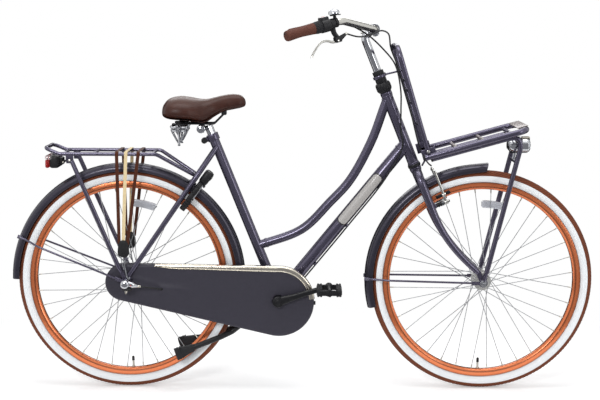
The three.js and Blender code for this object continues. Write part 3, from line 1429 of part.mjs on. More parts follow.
function makeChaincase() {
  const hollow = plate(caseOutline(caseWall), -caseOuterFace + caseWall, -caseInnerFace - caseWall);
  const outerShell = cut(plate(caseOutline(0), -caseOuterFace, -caseSeam), hollow,
    disc(crankPlace, left, crankNeckRadius + caseHoleGap, -caseOuterFace - overrun, -caseSeam),
    disc(rearAxlePlace, left, dropoutRadius + caseHoleGap, -caseOuterFace - overrun, -caseSeam),
    shiftCable(runningGap), chainStayShell(runningGap), tube(seatStayRoute(-1), stayRadius + runningGap, 6));
  piece(frameGroup, "chaincase_outer", outerShell, guardPaint);
  const innerShell = cut(plate(caseOutline(0), -caseSeam + fitGap, -caseInnerFace), hollow,
    disc(crankPlace, left, crankNeckRadius, -caseSeam, -caseInnerFace + overrun),
    disc(rearAxlePlace, left, rearHubEndRadius + caseHoleGap, -caseSeam, -caseInnerFace + overrun),
    shiftCable(runningGap), chainStayShell(runningGap));
  piece(frameGroup, "chaincase_inner", innerShell, guardPaint);
  const band = cut(plate(caseOutline(-trimWidth - fitGap), -caseOuterFace, -caseOuterFace + trimDepth),
    plate(caseOutline(-fitGap), -caseOuterFace - overrun, -caseOuterFace + trimDepth + overrun));
  const far = 2 * crankForward;
  const keep = plate([[trimStart, crankPlace.z], [far, crankPlace.z], [far, 2 * wheelRadius],
    [trimStart, 2 * wheelRadius]],
    -caseOuterFace - overrun, -caseOuterFace + trimDepth + overrun);
  piece(frameGroup, "chaincase_trim", band.intersect(keep), chrome);
}

// Chainring, cranks, sprocket and chain
const chainBandOffset = half(toothThick) + fitGap + half(chainBandThick);
const pitchRadius = (teeth) => half(chainPitch) / Math.sin(Math.PI / teeth);
function toothed(centre, teeth, from, to) {
  const root = pitchRadius(teeth) - half(toothHeight);
  const tip = pitchRadius(teeth) + half(toothHeight);
  const outline = range(2 * teeth).map((i) => {
    const spot = along(centre, heading((180 * i) / teeth), i % 2 ? tip : root);
    return [spot.x, spot.z];
  });
  return plate(outline, from, to);
}

function makeCranks() {
  const spindleEnd = crankArmInner + half(crankArmThick);
  piece(frameGroup, "crank_spindle", disc(crankPlace, left, crankSpindleRadius, -spindleEnd + fitGap,
    spindleEnd - fitGap), steel);
  sides.forEach((side) => {
    const direction = heading(side < 0 ? crankAngle : crankAngle + 180);
    const tip = along(crankPlace, direction, crankLength);
    const inner = side * crankArmInner;
    const outer = side * (crankArmInner + crankArmThick);
    const middle = half(inner + outer);
    const arm = block(sided(crankPlace.clone().lerp(tip, 0.5), middle),
      [crankLength, crankArmThick, 1.7 * crankTipRadius],
      direction, direction.clone().cross(left));
    const parts = [
      arm,
      disc(crankPlace, left, crankBossRadius, side * (caseOuterFace + caseHoleGap), outer),
      disc(tip, left, crankTipRadius, inner, outer),
      disc(tip, left, pedalPinRadius, outer - side * faceOverlap,
        side * (pedalInner + pedalLength - pedalPlate - faceOverlap), 12),
    ];
    if (side < 0) {
      parts.push(disc(crankPlace, left, crankNeckRadius, -chainLine, -crankArmInner));
      parts.push(toothed(crankPlace, chainringTeeth, -chainLine - half(toothThick),
        -chainLine + half(toothThick)));
    }
    const socket = disc(crankPlace, left, crankSpindleRadius + fitGap, side * bracketShellHalf,
      side * spindleEnd);
    piece(frameGroup, side < 0 ? "right_crank" : "left_crank", cut(join(parts), socket), steel);
    makePedal(tip, side);
  });
}

function makePedal(tip, side) {
  const group = placedGroup(frameGroup, tip);
  const from = side * pedalInner;
  const to = side * (pedalInner + pedalLength);
  const middle = half(from + to);
  const bars = sides.map((s) => block(point(s * half(pedalDepth - pedalBarDepth), middle, 0),
    [pedalBarDepth, pedalLength, pedalThick]));
  const plates = [from + side * half(pedalPlate), to - side * half(pedalPlate)].map((y) =>
    block(point(0, y, 0), [pedalDepth - pedalBarDepth, pedalPlate, pedalThick - pedalPlate]));
  const barrel = rod(point(0, from, 0), point(0, to, 0), pedalTubeRadius, 12);
  const bore = rod(point(0, from - side * faceOverlap, 0), point(0, to - side * pedalPlate, 0),
    pedalPinRadius + fitGap, 12);
  piece(group, side < 0 ? "right_pedal" : "left_pedal", cut(join(bars, plates, barrel), bore), blackPlastic);
}

function makeSprocket() {
  const inner = -rearHubHalf - runningGap;
  const body = join(
    toothed(rearAxlePlace, sprocketTeeth, -chainLine - half(toothThick), -chainLine + half(toothThick)),
    disc(rearAxlePlace, left, sprocketCarrierRadius, -dropoutInner + 2 * runningGap, inner));
  const bore = disc(rearAxlePlace, left, axleRadius + fitGap, -dropoutOuter, 0);
  piece(frameGroup, "rear_sprocket", cut(body, bore), steel);
}

// The chain's two side bands, tied by rollers on its straight runs.
function makeChain() {
  const big = pitchRadius(chainringTeeth);
  const small = pitchRadius(sprocketTeeth);
  const gap = crankPlace.distanceTo(rearAxlePlace);
  const base = THREE.MathUtils.radToDeg(Math.atan2(-crankDrop, crankForward));
  const tilt = THREE.MathUtils.radToDeg(Math.acos((small - big) / gap));
  const arc = (centre, radius, from, to, steps) => range(steps + 1).map((i) => {
    const spot = along(centre, heading(THREE.MathUtils.lerp(from, to, i / steps)), radius);
    return [spot.x, spot.z];
  });
  const loop = (grown) => [...arc(crankPlace, big + grown, base - tilt, base + tilt, 9),
    ...arc(rearAxlePlace, small + grown, base + tilt, base + 360 - tilt, 6)];
  const band = (y) => cut(plate(loop(chainHalfHeight), y - half(chainBandThick), y + half(chainBandThick)),
    plate(loop(-chainHalfHeight), y - chainBandThick, y + chainBandThick));
  const bands = sides.map((s) => band(-chainLine + s * chainBandOffset));
  const rollers = sides.flatMap((s) => {
    const from = along(crankPlace, heading(base + s * tilt), big);
    const to = along(rearAxlePlace, heading(base + s * tilt), small);
    return range(chainRollers).map((i) => {
      const spot = from.clone().lerp(to, 0.18 + (0.68 * i) / (chainRollers - 1));
      return disc(spot, left, rollerRadius, -chainLine - chainBandOffset, -chainLine + chainBandOffset, 6);
    });
  });
  piece(frameGroup, "chain", join(bands, rollers), steel);
}

// Shift cable: from the twist shifter past the head tube, along the frame, through the chaincase to the click box
function shiftCable(grown = 0) {
  const start = onGrip(-1, housingFrom + housingLength + cableRadius + fitGap);
  const under = -downTubeRadius - cableRadius - 1;
  const downLine = toward(onHead(downTubeJoin), crankPlace);
  const belowDown = heading(headAngle - 180 + 11);
  const onDown = (share, side) => sided(along(onHead(downTubeJoin).lerp(crankPlace, share),
    downLine.clone().cross(left).normalize(), -under), side);
  const stay = (share, down) => {
    const route = chainStayRoute(-1);
    const spot = route[1].clone().lerp(route[2], share);
    return along(spot, heading(90), -chainStayRadius - cableRadius - down);
  };
  const points = [
    along(along(start, gripSide, -housingRadius + 3), gripUp, 0),
    along(along(start, gripLine(-1), 40), gripSide, -housingRadius - 4),
    point(barClamp.x - 30, -75, barClamp.z - 12),
    point(barClamp.x + 28, -42, barClamp.z - 62),
    onHead(330, 58, -36),
    onHead(250, 46, -30),
    onHead(190, 24, -26),
    onHead(130, 0, -27),
    sided(onHead(downTubeJoin, -14), -27),
    sided(along(onDown(0.2, 0), heading(90), half(downTubeRadius)), -22),
    onDown(0.5, -10),
    onDown(0.84, -10),
    point(crankForward + 4, -22, crankPlace.z - bracketShellRadius - 4 * cableRadius),
    point(crankForward - 46, -30, crankPlace.z - bracketShellRadius - cableRadius),
    stay(0, 1),
    stay(0.45, 2),
    stay(0.74, 4),
    point(caseCableExit, -caseOuterFace - 6, wheelRadius - 22),
    point(clickBoxNose + 20, -dropoutOuter - 17, wheelRadius - 12),
    point(clickBoxNose + 2, -dropoutOuter - 20, wheelRadius - 9),
  ];
  const curve = new THREE.CatmullRomCurve3(points, false, "centripetal");
  return tube(curve.getPoints(2 * points.length), cableRadius + grown, 6);
}

function makeClickBox() {
  const start = dropoutOuter + stackNut + nutThick + axleEndReach + fitGap;
  const body = join(
    disc(rearAxlePlace, left, clickBoxRadius, -start - clickBoxLength, -start, 12),
    rod(sided(rearAxlePlace, -start - half(clickBoxLength)),
      point(clickBoxNose, -dropoutOuter - clickBoxNoseSide, wheelRadius - clickBoxNoseDrop),
        0.7 * clickBoxRadius, 8, 0.4 * clickBoxRadius));
  piece(frameGroup, "click_box", body, chrome);
}

function makeBrakeCable() {
  const points = [
    along(bracketNose, toward(leverPivot, bracketNose), fitGap + cableRadius),
    point(barClamp.x - 52, -128, barClamp.z - 22),
    point(barClamp.x - 14, -74, barClamp.z - 17),
    point(barClamp.x + 22, -44, barClamp.z - 4),
    point(barClamp.x + 44, -32, barClamp.z - 14),
    along(onBack(backHeight, -27), backUp.clone().cross(left), backTubeRadius + cableRadius + 6),
    along(onBack(280, -24), backUp.clone().cross(left), backTubeRadius + cableRadius + 1),
    along(onBack(150, -24), backUp.clone().cross(left), backTubeRadius + cableRadius + 1),
    along(onBack(20, -22), backUp.clone().cross(left), backTubeRadius + cableRadius + 6),
    onHead(22, 38, -14),
    onHead(-4, 44, -4),
    onHead(-18, armPivotOut, 14),
  ];
  const curve = new THREE.CatmullRomCurve3(points, false, "centripetal");
  piece(steeringGroup, "front_brake_cable", tube(curve.getPoints(2 * points.length), cableRadius, 6),
    blackPlastic);
}

// Stand: a pivot rod through the plate's ears, and two legs that splay outside the tyre
function makeStand() {
  const place = (side, back, drop, y) => point(standPivot.x - back, side * y, standPivot.z - drop);
  const legs = sides.map((side) => {
    const foot = place(side, standFootBack, standFootDrop, standFootSide);
    const aim = toward(place(side, standTyreBack, standTyreDrop, standTyreSide), foot);
    return join(
      bentTube([point(standPivot.x, side * standInnerSide, standPivot.z),
        place(side, standKneeBack, standKneeDrop, standInnerSide),
          place(side, standTyreBack, standTyreDrop, standTyreSide),
        foot], standTubeRadius, standBend, 6, 2),
      block(foot, [standFootWidth, standFootWidth, standFootLength], aim, uprightFrom(aim)));
  });
  const pivotRod = disc(standPivot, left, standRodRadius, -standInnerSide, standInnerSide, 12);
  piece(frameGroup, "kickstand", join(legs, pivotRod), blackPlastic);
}

makeChaincase();
makeCranks();
makeSprocket();
makeChain();
makeClickBox();
piece(frameGroup, "shift_cable", shiftCable(), blackPlastic);
makeBrakeCable();
makeStand();

export default bike;
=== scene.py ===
# A Dutch city bicycle, put together in the order in which a fitter would build it.
# Lengths are millimetres until a surface becomes a mesh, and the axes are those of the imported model.
import math
import bmesh
import bpy
import numpy as np
from mathutils import Matrix, Vector
from mathutils.geometry import delaunay_2d_cdt


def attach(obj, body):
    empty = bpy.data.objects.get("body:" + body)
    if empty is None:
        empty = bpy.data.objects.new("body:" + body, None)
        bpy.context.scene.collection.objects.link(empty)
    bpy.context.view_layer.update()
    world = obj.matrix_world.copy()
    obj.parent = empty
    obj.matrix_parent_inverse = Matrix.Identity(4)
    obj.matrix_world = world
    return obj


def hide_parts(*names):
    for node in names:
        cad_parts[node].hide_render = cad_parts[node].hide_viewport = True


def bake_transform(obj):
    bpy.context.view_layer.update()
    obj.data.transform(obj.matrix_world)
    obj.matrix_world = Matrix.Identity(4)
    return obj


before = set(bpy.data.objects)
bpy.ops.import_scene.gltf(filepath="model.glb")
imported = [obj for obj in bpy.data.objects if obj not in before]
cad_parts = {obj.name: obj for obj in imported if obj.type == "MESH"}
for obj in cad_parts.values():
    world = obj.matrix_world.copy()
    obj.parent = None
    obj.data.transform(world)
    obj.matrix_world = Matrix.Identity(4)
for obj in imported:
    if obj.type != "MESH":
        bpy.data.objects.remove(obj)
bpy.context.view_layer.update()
scene = bpy.context.scene
scene.view_settings.view_transform = "Standard"

# The room: a plain pale floor under even studio light, seen as the photographer saw it.
# The lens looks along the bicycle's right side from four metres away, a little above the saddle.


def to_linear(code):
    """An sRGB hex colour as linear light, each channel by the sRGB curve."""
    shares = np.array([int(code[i:i + 2], 16) for i in (1, 3, 5)]) / 255
    linear = np.where(shares <= 0.04045, shares / 12.92, ((shares + 0.055) / 1.055) ** 2.4)
    return (*linear, 1.0)


def add(tree, kind, sockets=None, output=0, **settings):
    """One node and its output: an input that is given another's output is linked to it."""
    node = tree.nodes.new("ShaderNode" + kind)
    for name, value in settings.items():
        setattr(node, name, value)
    for name, value in sockets.items() if isinstance(sockets, dict) else enumerate(sockets or ()):
        if isinstance(value, bpy.types.NodeSocket):
            tree.links.new(value, node.inputs[name])
        else:
            node.inputs[name].default_value = to_linear(value) if isinstance(value, str) else value
    return node.outputs[output] if len(node.outputs) else node


def cleared(owner):
    """The emptied node tree of a material or a world."""
    owner.use_nodes = True
    owner.node_tree.nodes.clear()
    return owner.node_tree


def seen_share(tree):
    """One for rays from the lens, through clear parts and off polished ones, and none for all others."""
    path = add(tree, "LightPath").node.outputs
    clear = add(tree, "Math", {0: path["Is Camera Ray"], 1: path["Is Transmission Ray"]}, operation="MAXIMUM")
    return add(tree, "Math", {0: clear, 1: path["Is Glossy Ray"]}, operation="MAXIMUM")


def points(*parts):
    """Coordinates of fitting shapes as one array of points."""
    return np.stack(np.broadcast_arrays(*parts), -1)


def around(count):
    """Equal turns round a circle."""
    return np.linspace(0, 2 * np.pi, count, endpoint=False)


def swept(turn, out, y=0.0):
    """Places in the bicycle's plane at a distance out from an axle, or beside that plane."""
    return points(out * np.cos(turn), y, out * np.sin(turn))


def unit(direction):
    """A direction, or a list of them, divided by its length."""
    direction = np.asarray(direction, float)
    return direction / np.linalg.norm(direction, axis=-1, keepdims=True)


def skin(rings, closed=False):
    """Equal rings joined by four-cornered faces, capped at both ends unless the last meets the first."""
    rings = np.asarray(rings, float)
    count, sides = rings.shape[:2]
    ring, corner = np.meshgrid(np.arange(count if closed else count - 1), np.arange(sides), indexing="ij")
    after, beside = (ring + 1) % count, (corner + 1) % sides
    quads = np.stack([ring * sides + corner, ring * sides + beside, after * sides + beside,
                      after * sides + corner], -1).reshape(-1, 4).tolist()
    if not closed:
        quads += [list(range(sides))[::-1], list(range((count - 1) * sides, count * sides))]
    return rings.reshape(-1, 3), quads


def put(name, data):
    """A new object in the scene."""
    made = bpy.data.objects.new(name, data)
    scene.collection.objects.link(made)
    return made


BIKE_MIDDLE = 0.57


def oriented(made, right, up, back, place):
    """Turns and places an object by its own three axes."""
    made.matrix_world = Matrix(np.vstack([np.stack([right, up, back, place], 1), [0, 0, 0, 1]]).tolist())


def point_lens(place, pitch, yaw, roll):
    """The lens looks along +Y, tipped down by the pitch, turned toward +X by the yaw, and rolled."""
    lens = bpy.data.cameras.new("lens")
    lens.lens, lens.sensor_width, lens.sensor_fit = 78.0, 36.0, "HORIZONTAL"
    scene.camera = put("camera", lens)
    level, fall = math.cos(pitch), math.sin(pitch)
    forward = np.array([math.sin(yaw) * level, math.cos(yaw) * level, -fall])
    right = np.array([math.cos(yaw), -math.sin(yaw), 0.0])
    up = np.cross(right, forward)
    turn, tilt = math.cos(roll), math.sin(roll)
    oriented(scene.camera, right * turn + up * tilt, up * turn - right * tilt, -forward, place)


def softbox(name, place, aim, width, height, power):
    """A flat lamp at a place, turned to face its aim."""
    data = bpy.data.lights.new(name, "AREA")
    data.shape, data.size, data.size_y, data.energy = "RECTANGLE", width, height, power
    back = unit(np.array(place) - np.array(aim))
    right = unit(np.cross((0.0, 0.0, 1.0), back))
    oriented(put(name, data), right, np.cross(back, right), back, place)


def painted_concrete():
    """Pale floor paint: it takes the bicycle's shadow, and further out it fades into the white room."""
    made = bpy.data.materials.new("painted_concrete")
    tree = cleared(made)
    place = add(tree, "TexCoord", output="Object")
    cloud = add(tree, "TexNoise", {"Vector": place, "Scale": 6.0, "Detail": 3.0})
    tone = add(tree, "MixRGB", {"Fac": cloud, "Color1": "#f7f7f7", "Color2": "#fbfbfb"})
    coat = add(tree, "BsdfPrincipled", {"Base Color": tone, "Roughness": 0.9, "Specular IOR Level": 0.1})
    glow = add(tree, "Emission", {"Color": "#ffffff", "Strength": 0.31})
    bright = add(tree, "AddShader", {0: coat, 1: glow})
    moved = add(tree, "VectorMath", {0: place, 1: (-BIKE_MIDDLE, 0, 0)}, operation="ADD")
    shrunk = add(tree, "VectorMath", {0: moved, 1: (0.55, 1, 1)}, operation="MULTIPLY")
    reach = add(tree, "VectorMath", {0: shrunk}, operation="LENGTH", output="Value")
    fade = add(tree, "MapRange", {"Value": reach, "From Min": 0.5, "From Max": 1.1},
               interpolation_type="SMOOTHSTEP")
    white = add(tree, "Emission", {"Color": "#ffffff", "Strength": 1.0})
    near = add(tree, "MixShader", {0: fade, 1: bright, 2: white})
    mixed = add(tree, "MixShader", {0: seen_share(tree), 1: coat, 2: near})
    add(tree, "OutputMaterial", {"Surface": mixed})
    return made


def hung_cloth(name, dark, light):
    """A cloth that shows the same even tone from everywhere, a little uneven in its nap."""
    made = bpy.data.materials.new(name)
    tree = cleared(made)
    nap = add(tree, "TexNoise", {"Vector": add(tree, "TexCoord", output="Object"), "Scale": 40.0})
    tone = add(tree, "MixRGB", {"Fac": nap, "Color1": dark, "Color2": light})
    add(tree, "OutputMaterial", {"Surface": add(tree, "Emission", {"Color": tone, "Strength": 1.0})})
    return made


def stage(name, spots, faces, material):
    """A surface of the room, which is no part of the bicycle."""
    mesh = bpy.data.meshes.new(name)
    mesh.from_pydata(spots, [], faces)
    mesh.materials.append(material)
    made = put(name, mesh)
    return made


point_lens((0.5786, -4.15035, 1.19898), 0.139439, -0.0057978, 0.0033692)
softbox("key_softbox", (-0.9, -4.4, 2.6), (0.6, 0.0, 0.6), 1.5, 1.0, 84)
softbox("fill_softbox", (3.4, -2.6, 1.6), (0.6, 0.0, 0.5), 0.7, 2.0, 20)
softbox("top_softbox", (0.6, -0.3, 3.4), (0.6, 0.0, 0.0), 2.8, 1.6, 46)
softbox("back_softbox", (0.4, 3.4, 2.4), (0.6, 0.0, 0.5), 2.6, 1.2, 32)
scene.world = bpy.data.worlds.new("studio")
studio = cleared(scene.world)
even = add(studio, "Background", {"Color": "#f4f5f7", "Strength": 0.4})
plain = add(studio, "Background", {"Color": "#ffffff", "Strength": 1.0})
add(studio, "OutputWorld", {"Surface": add(studio, "MixShader", {0: seen_share(studio), 1: even, 2: plain})})
floor_reach = 45.0 * np.linspace(0.02, 1, 10)[:, None] ** 2
floor_rings = swept(around(64), floor_reach)[..., [0, 2, 1]] + [BIKE_MIDDLE, 0, 0]
floor_spots, floor_faces = skin(floor_rings)
stage("floor", floor_spots.tolist(), floor_faces[:-1], painted_concrete())

# Two cloths hang and lie before and behind the bicycle, out of the lens's sight: grey felt and black velvet.
# Only polished and painted surfaces show them, as the dark edges that give a round tube its shape.
for name, near, far, high, cloth in (("front_card", -0.45, -5.0, 4.5,
                                      hung_cloth("grey_felt", "#8c8c90", "#929296")),
                                     ("back_card", 0.45, 4.0, 3.4,
                                      hung_cloth("black_velvet", "#141416", "#1a1a1c"))):
    spots = [(x, y, z) for y, z in ((near, 0.004), (far, 0.004), (far, high)) for x in (-3.5, 4.6)]
    card = stage(name, spots, [(0, 1, 3, 2), (2, 3, 5, 4)], cloth)
    card.visible_camera = card.visible_diffuse = card.visible_transmission = card.visible_shadow = False

# The frame: drawn steel tubes, mitred, brazed and powder coated, with a bowed second tube for a low step.
# The seat tube carries the post, and plates at the end of the stays carry the rear axle.


class Finish:
    """A material for one of the record's finishes, with its tree of nodes and the piece's own coordinates."""

    def __init__(self, name, slot, **sockets):
        self.material = bpy.data.materials.new(name)
        self.material["finish"] = slot
        self.tree = cleared(self.material)
        coat = self.add("BsdfPrincipled", {key.replace("_", " "): value for key, value in sockets.items()})
        self.coat = coat.node.inputs
        self.add("OutputMaterial", {"Surface": coat})
        self.place = self.add("TexCoord", output="Object")

    def add(self, kind, sockets=None, **settings):
        return add(self.tree, kind, sockets, **settings)

    def wave(self, value, pace):
        """The sine of a value times a pace."""
        return self.add("Math", (self.add("Math", (value, pace), operation="MULTIPLY"),), operation="SINE")

    def about_axle(self, axle):
        """Distance out from an axle in millimetres, and the turn about it."""
        moved = self.add("VectorMath", {0: self.place, 1: tuple(-axle / 1000)}, operation="ADD")
        flat = self.add("VectorMath", {0: moved, 1: (1000, 0, 1000)}, operation="MULTIPLY")
        parts = self.add("SeparateXYZ", {0: flat}).node.outputs
        return (self.add("VectorMath", {0: flat}, operation="LENGTH", output="Value"),
                self.add("Math", (parts[2], parts[0]), operation="ARCTAN2"))

    def done(self, colour, gloss, height=None, distance=0.0, strength=1.0):
        """The material, with its colour, its roughness and a relief whose height is in millimetres."""
        if isinstance(colour, str):
            self.coat["Base Color"].default_value = to_linear(colour)
        else:
            self.tree.links.new(colour, self.coat["Base Color"])
        self.tree.links.new(gloss, self.coat["Roughness"])
        if height is not None:
            raised = self.add("Bump", {"Height": height, "Distance": distance / 1000, "Strength": strength})
            self.tree.links.new(raised, self.coat["Normal"])
        return self.material

    def mottled(self, dark, light, grain, low, high, *height):
        """One colour, or two in soft patches of a size in millimetres, with a roughness that follows them."""
        cloud = self.add("TexNoise",
                         {"Vector": self.place, "Scale": 1000 / grain, "Detail": 4.0, "Roughness": 0.6})
        colour = dark if dark == light else self.add("MixRGB", (cloud, dark, light))
        return self.done(colour, self.add("MapRange", (cloud, 0.3, 0.7, low, high)), *height)


def powder_coat(name, dark, light, low, high, slot="frame_paint"):
    """Satin powder coat: metal flake in lacquer with a broad soft highlight and a faint orange peel."""
    paint = Finish(name, slot, Metallic=0.7, Specular_IOR_Level=0.4, Coat_Weight=0.3, Coat_Roughness=0.12)
    peel = paint.add("TexNoise", {"Vector": paint.place, "Scale": 90.0, "Detail": 0.0})
    return paint.mottled(dark, light, 60, low, high, peel, 0.02, 0.15)


FRAME_PAINT = powder_coat("violet_grey_powder_coat", "#524e60", "#5b5769", 0.22, 0.28)


def rays(turn):
    """The flat direction at each turn."""
    return points(np.cos(turn), np.sin(turn))


def taper(line, shares, sizes):
    """A size for each point of a line, from the sizes at some shares of it."""
    return np.interp(np.linspace(0, 1, len(line)), shares, sizes)


def bend(corners, radius, steps=9):
    """A line with rounded corners, each a parabola that leaves the line where an arc of this radius would."""
    corners = np.asarray(corners, float)
    before, at, after = corners[:-2], corners[1:-1], corners[2:]
    back, on = unit(before - at), unit(after - at)
    half_angle = np.arccos(np.clip((back * on).sum(1), -1, 1)) / 2
    room = np.minimum(np.linalg.norm(before - at, axis=1), np.linalg.norm(after - at, axis=1))
    reach = np.minimum(radius / np.tan(half_angle), room * 0.49)[:, None]
    t = np.linspace(0, 1, steps)[:, None, None]
    arcs = (1 - t) ** 2 * (at + back * reach) + 2 * t * (1 - t) * at + t ** 2 * (at + on * reach)
    return np.vstack([corners[:1], arcs.transpose(1, 0, 2).reshape(-1, 3), corners[-1:]])


def smooth_line(spots, steps=10):
    """A curve through points: cubics whose end slopes weigh the neighbours by the root of their distance."""
    spots = np.asarray(spots, float)
    ends = np.vstack([2 * spots[0] - spots[1], spots, 2 * spots[-1] - spots[-2]])
    p0, p1, p2, p3 = ends[:-3], ends[1:-2], ends[2:-1], ends[3:]
    d0, d1, d2 = (np.sqrt(np.linalg.norm(b - a, axis=1))[:, None] for a, b in ((p0, p1), (p1, p2), (p2, p3)))
    leave = ((p1 - p0) / d0 - (p2 - p0) / (d0 + d1) + (p2 - p1) / d1) * d1
    meet = ((p2 - p1) / d1 - (p3 - p1) / (d1 + d2) + (p3 - p2) / d2) * d1
    t = np.linspace(0, 1, steps, endpoint=False)[:, None, None]
    curve = ((2 * t ** 3 - 3 * t ** 2 + 1) * p1 + (t ** 3 - 2 * t ** 2 + t) * leave
             + (3 * t ** 2 - 2 * t ** 3) * p2 + (t ** 3 - t ** 2) * meet)
    return np.vstack([curve.transpose(1, 0, 2).reshape(-1, spots.shape[1]), spots[-1:]])


def carried(profile, line, over):
    """A flat profile carried along a line: its first number goes across, its second along `over`, squared."""
    line = np.asarray(line, float)
    before, after = np.vstack([line[:1], line[:-1]]), np.vstack([line[1:], line[-1:]])
    along = unit(unit(line - before + 1e-12) + unit(after - before))
    rise = unit(over - (along * over).sum(1)[:, None] * along)
    profile = np.broadcast_to(profile, (len(line), *np.shape(profile)[-2:]))
    return skin(line[:, None] + profile[..., :1] * np.cross(along, rise)[:, None]
                + profile[..., 1:] * rise[:, None])


def tube(line, radius, sides=20, edge=0.6):
    """A round tube: a circle carried along the line, with each end's rim rounded over by `edge`."""
    line = np.asarray(line, float)
    radius = np.broadcast_to(np.asarray(radius, float), len(line))
    over = np.linalg.svd(np.diff(line, axis=0) * [1, 1.01, 1.02])[2][-1]
    fall = np.radians([90, 60, 30])
    start, end = unit(line[0] - line[1]), unit(line[-1] - line[-2])
    line = np.vstack([line[0] + start * edge * (np.sin(fall)[:, None] - 1), line[0] - start * edge,
                      line[1:-1], line[-1] - end * edge,
                      line[-1] + end * edge * (np.sin(fall[::-1])[:, None] - 1)])
    shrink = edge * (1 - np.cos(fall))
    radius = np.concatenate([radius[0] - shrink, radius[:1], radius[1:-1], radius[-1:],
                             radius[-1] - shrink[::-1]])
    return carried(radius[:, None, None] * rays(around(sides)), line, over)


def turned(profile, centre, axis, segments=40, closed=False):
    """A lathe shape: each profile pair is a radius about the axis and a distance along it from the centre."""
    profile, axis = np.asarray(profile, float), unit(axis)
    first = unit(np.cross(axis, (0.31, 0.17, 0.93) if abs(axis[2]) < 0.9 else (1.0, 0.2, 0.0)))
    turn = around(segments)[:, None]
    wheel = first * np.cos(turn) + np.cross(axis, first) * np.sin(turn)
    return skin(centre + profile[:, 1, None, None] * axis + profile[:, 0, None, None] * wheel, closed)


def disc(centre, axis, radius, start, end, edge=0.5, segments=32):
    """A short round bar between two distances along an axis, with rounded rims."""
    low, high = min(start, end), max(start, end)
    rim = [[0, 0], [radius - edge, 0], [radius - 0.3 * edge, 0.3 * edge], [radius, edge]]
    return turned([[r, low + y] for r, y in rim] + [[r, high - y] for r, y in rim[::-1]], centre, axis,
                  segments)


def slab(centre, size, forward=(1, 0, 0), up=(0, 0, 1), edge=1.0):
    """A block with rounded edges: a ball of radius `edge`, each eighth of it moved to its own corner."""
    forward, up = unit(forward), unit(up)
    basis = np.stack([forward, np.cross(up, forward), up])
    reach = np.maximum(np.asarray(size, float) / 2 - edge, 0)
    quarter = np.radians([0, 30, 60, 90])
    turn = np.concatenate([quarter + k * np.pi / 2 for k in range(4)])
    tip = np.concatenate([-quarter[::-1], quarter])[:, None]
    corner = np.repeat([[1, 1], [-1, 1], [-1, -1], [1, -1]], 4, 0)
    box = points(corner[:, 0], corner[:, 1], np.repeat([-1, 1], 4)[:, None])
    ball = points(np.cos(tip) * np.cos(turn), np.cos(tip) * np.sin(turn), np.sin(tip))
    return skin(centre + (box * reach + ball * edge) @ basis)


def piece(name, skins, material, body, *nodes, sharp=38):
    """One piece from its skins: doubles merged, faces turned outward, smooth except at sharp edges.
    It rides on its body, if it has just one."""
    starts = np.cumsum([0] + [len(spots) for spots, _ in skins])
    mesh = bpy.data.meshes.new(name)
    mesh.from_pydata((np.vstack([spots for spots, _ in skins]) / 1000).tolist(), [],
                     [[corner + int(start) for corner in face]
                      for (_, faces), start in zip(skins, starts) for face in faces])
    shell = bmesh.new()
    shell.from_mesh(mesh)
    bmesh.ops.remove_doubles(shell, verts=shell.verts, dist=2e-6)
    bmesh.ops.recalc_face_normals(shell, faces=shell.faces)
    shell.to_mesh(mesh)
    shell.free()
    mesh.shade_smooth()
    mesh.set_sharp_from_angle(angle=math.radians(sharp))
    mesh.materials.append(material)
    made = put(name, mesh)
    if body:
        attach(made, body)
    if nodes:
        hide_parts(*nodes)
    return made


LEFT = np.array([0.0, 1.0, 0.0])
REAR_AXLE = np.array([0.0, 0.0, 358.0])
FRONT_AXLE = np.array([1143.0, 0.0, 358.0])
CRANK_AXIS = np.array([486.0, 0.0, 298.0])
STAND_PIVOT = np.array([424.0, 0.0, 260.0])
FRAME, STEERED = "bike_frame", "steering_unit"
SIDES = ((-1, "right"), (1, "left"))


def heading(degrees):
    """The direction in the plane of the bicycle that rises by this angle from straight ahead."""
    return np.array([math.cos(math.radians(degrees)), 0.0, math.sin(math.radians(degrees))])


def rung(centre, half, radius, sides=16):
    """A round bar across the bicycle."""
    return tube([centre - half * LEFT, centre + half * LEFT], radius, sides)


SEAT_UP = HEAD_UP = heading(112)
HEAD_OUT = heading(22)
CROWN_RACE = FRONT_AXLE - 66.5 * HEAD_OUT + 423 * HEAD_UP


def on_seat(distance, side=0.0):
    """A place along the seat tube from the crank axis, and to the side of it."""
    return CRANK_AXIS + distance * SEAT_UP + side * LEFT


def on_head(distance, out=0.0, side=0.0):
    """A place along the steering axis from the crown race, ahead of it and to its side."""
    return CROWN_RACE + distance * HEAD_UP + out * HEAD_OUT + side * LEFT


DOWN_TOP = on_head(80)
DOWN = unit(DOWN_TOP - CRANK_AXIS)
STAY_FOOT = REAR_AXLE + np.array([8.0, 0, 22.0])
BRIDGE = on_seat(529) * 0.77 + STAY_FOOT * 0.23
SWAN_SHARES = np.array([[0, 0], [0.345, 0.114], [0.562, 0.298], [0.716, 0.447], [0.882, 0.716],
                        [0.973, 0.936], [1, 1]])
TYRE_SHARE = 358 / 486


def weld(place, axis, radius, width=3.2):
    """A ring of brazing: a half-round bead about a tube."""
    turn = np.linspace(-np.pi / 2, np.pi / 2, 7)
    return turned(rays(turn) * [2.4, width] + [radius - 1, 0], place, axis, 28)


def stay_lines(side):
    """The seat stay with its bend, and the chain stay past the tyre to the axle plate."""
    knee = on_seat(529) * 0.76 + STAY_FOOT * 0.24
    stay = bend([on_seat(529, side * 11), knee + side * 40 * LEFT, STAY_FOOT + side * 72 * LEFT], 30)
    share = np.array([0, 1 - TYRE_SHARE, 1 - 34 / 486, 1 - 8.5 / 486])[:, None]
    run = CRANK_AXIS + (REAR_AXLE - CRANK_AXIS) * share + side * np.array([22, 36, 58, 65])[:, None] * LEFT
    return stay, bend(run, 30)


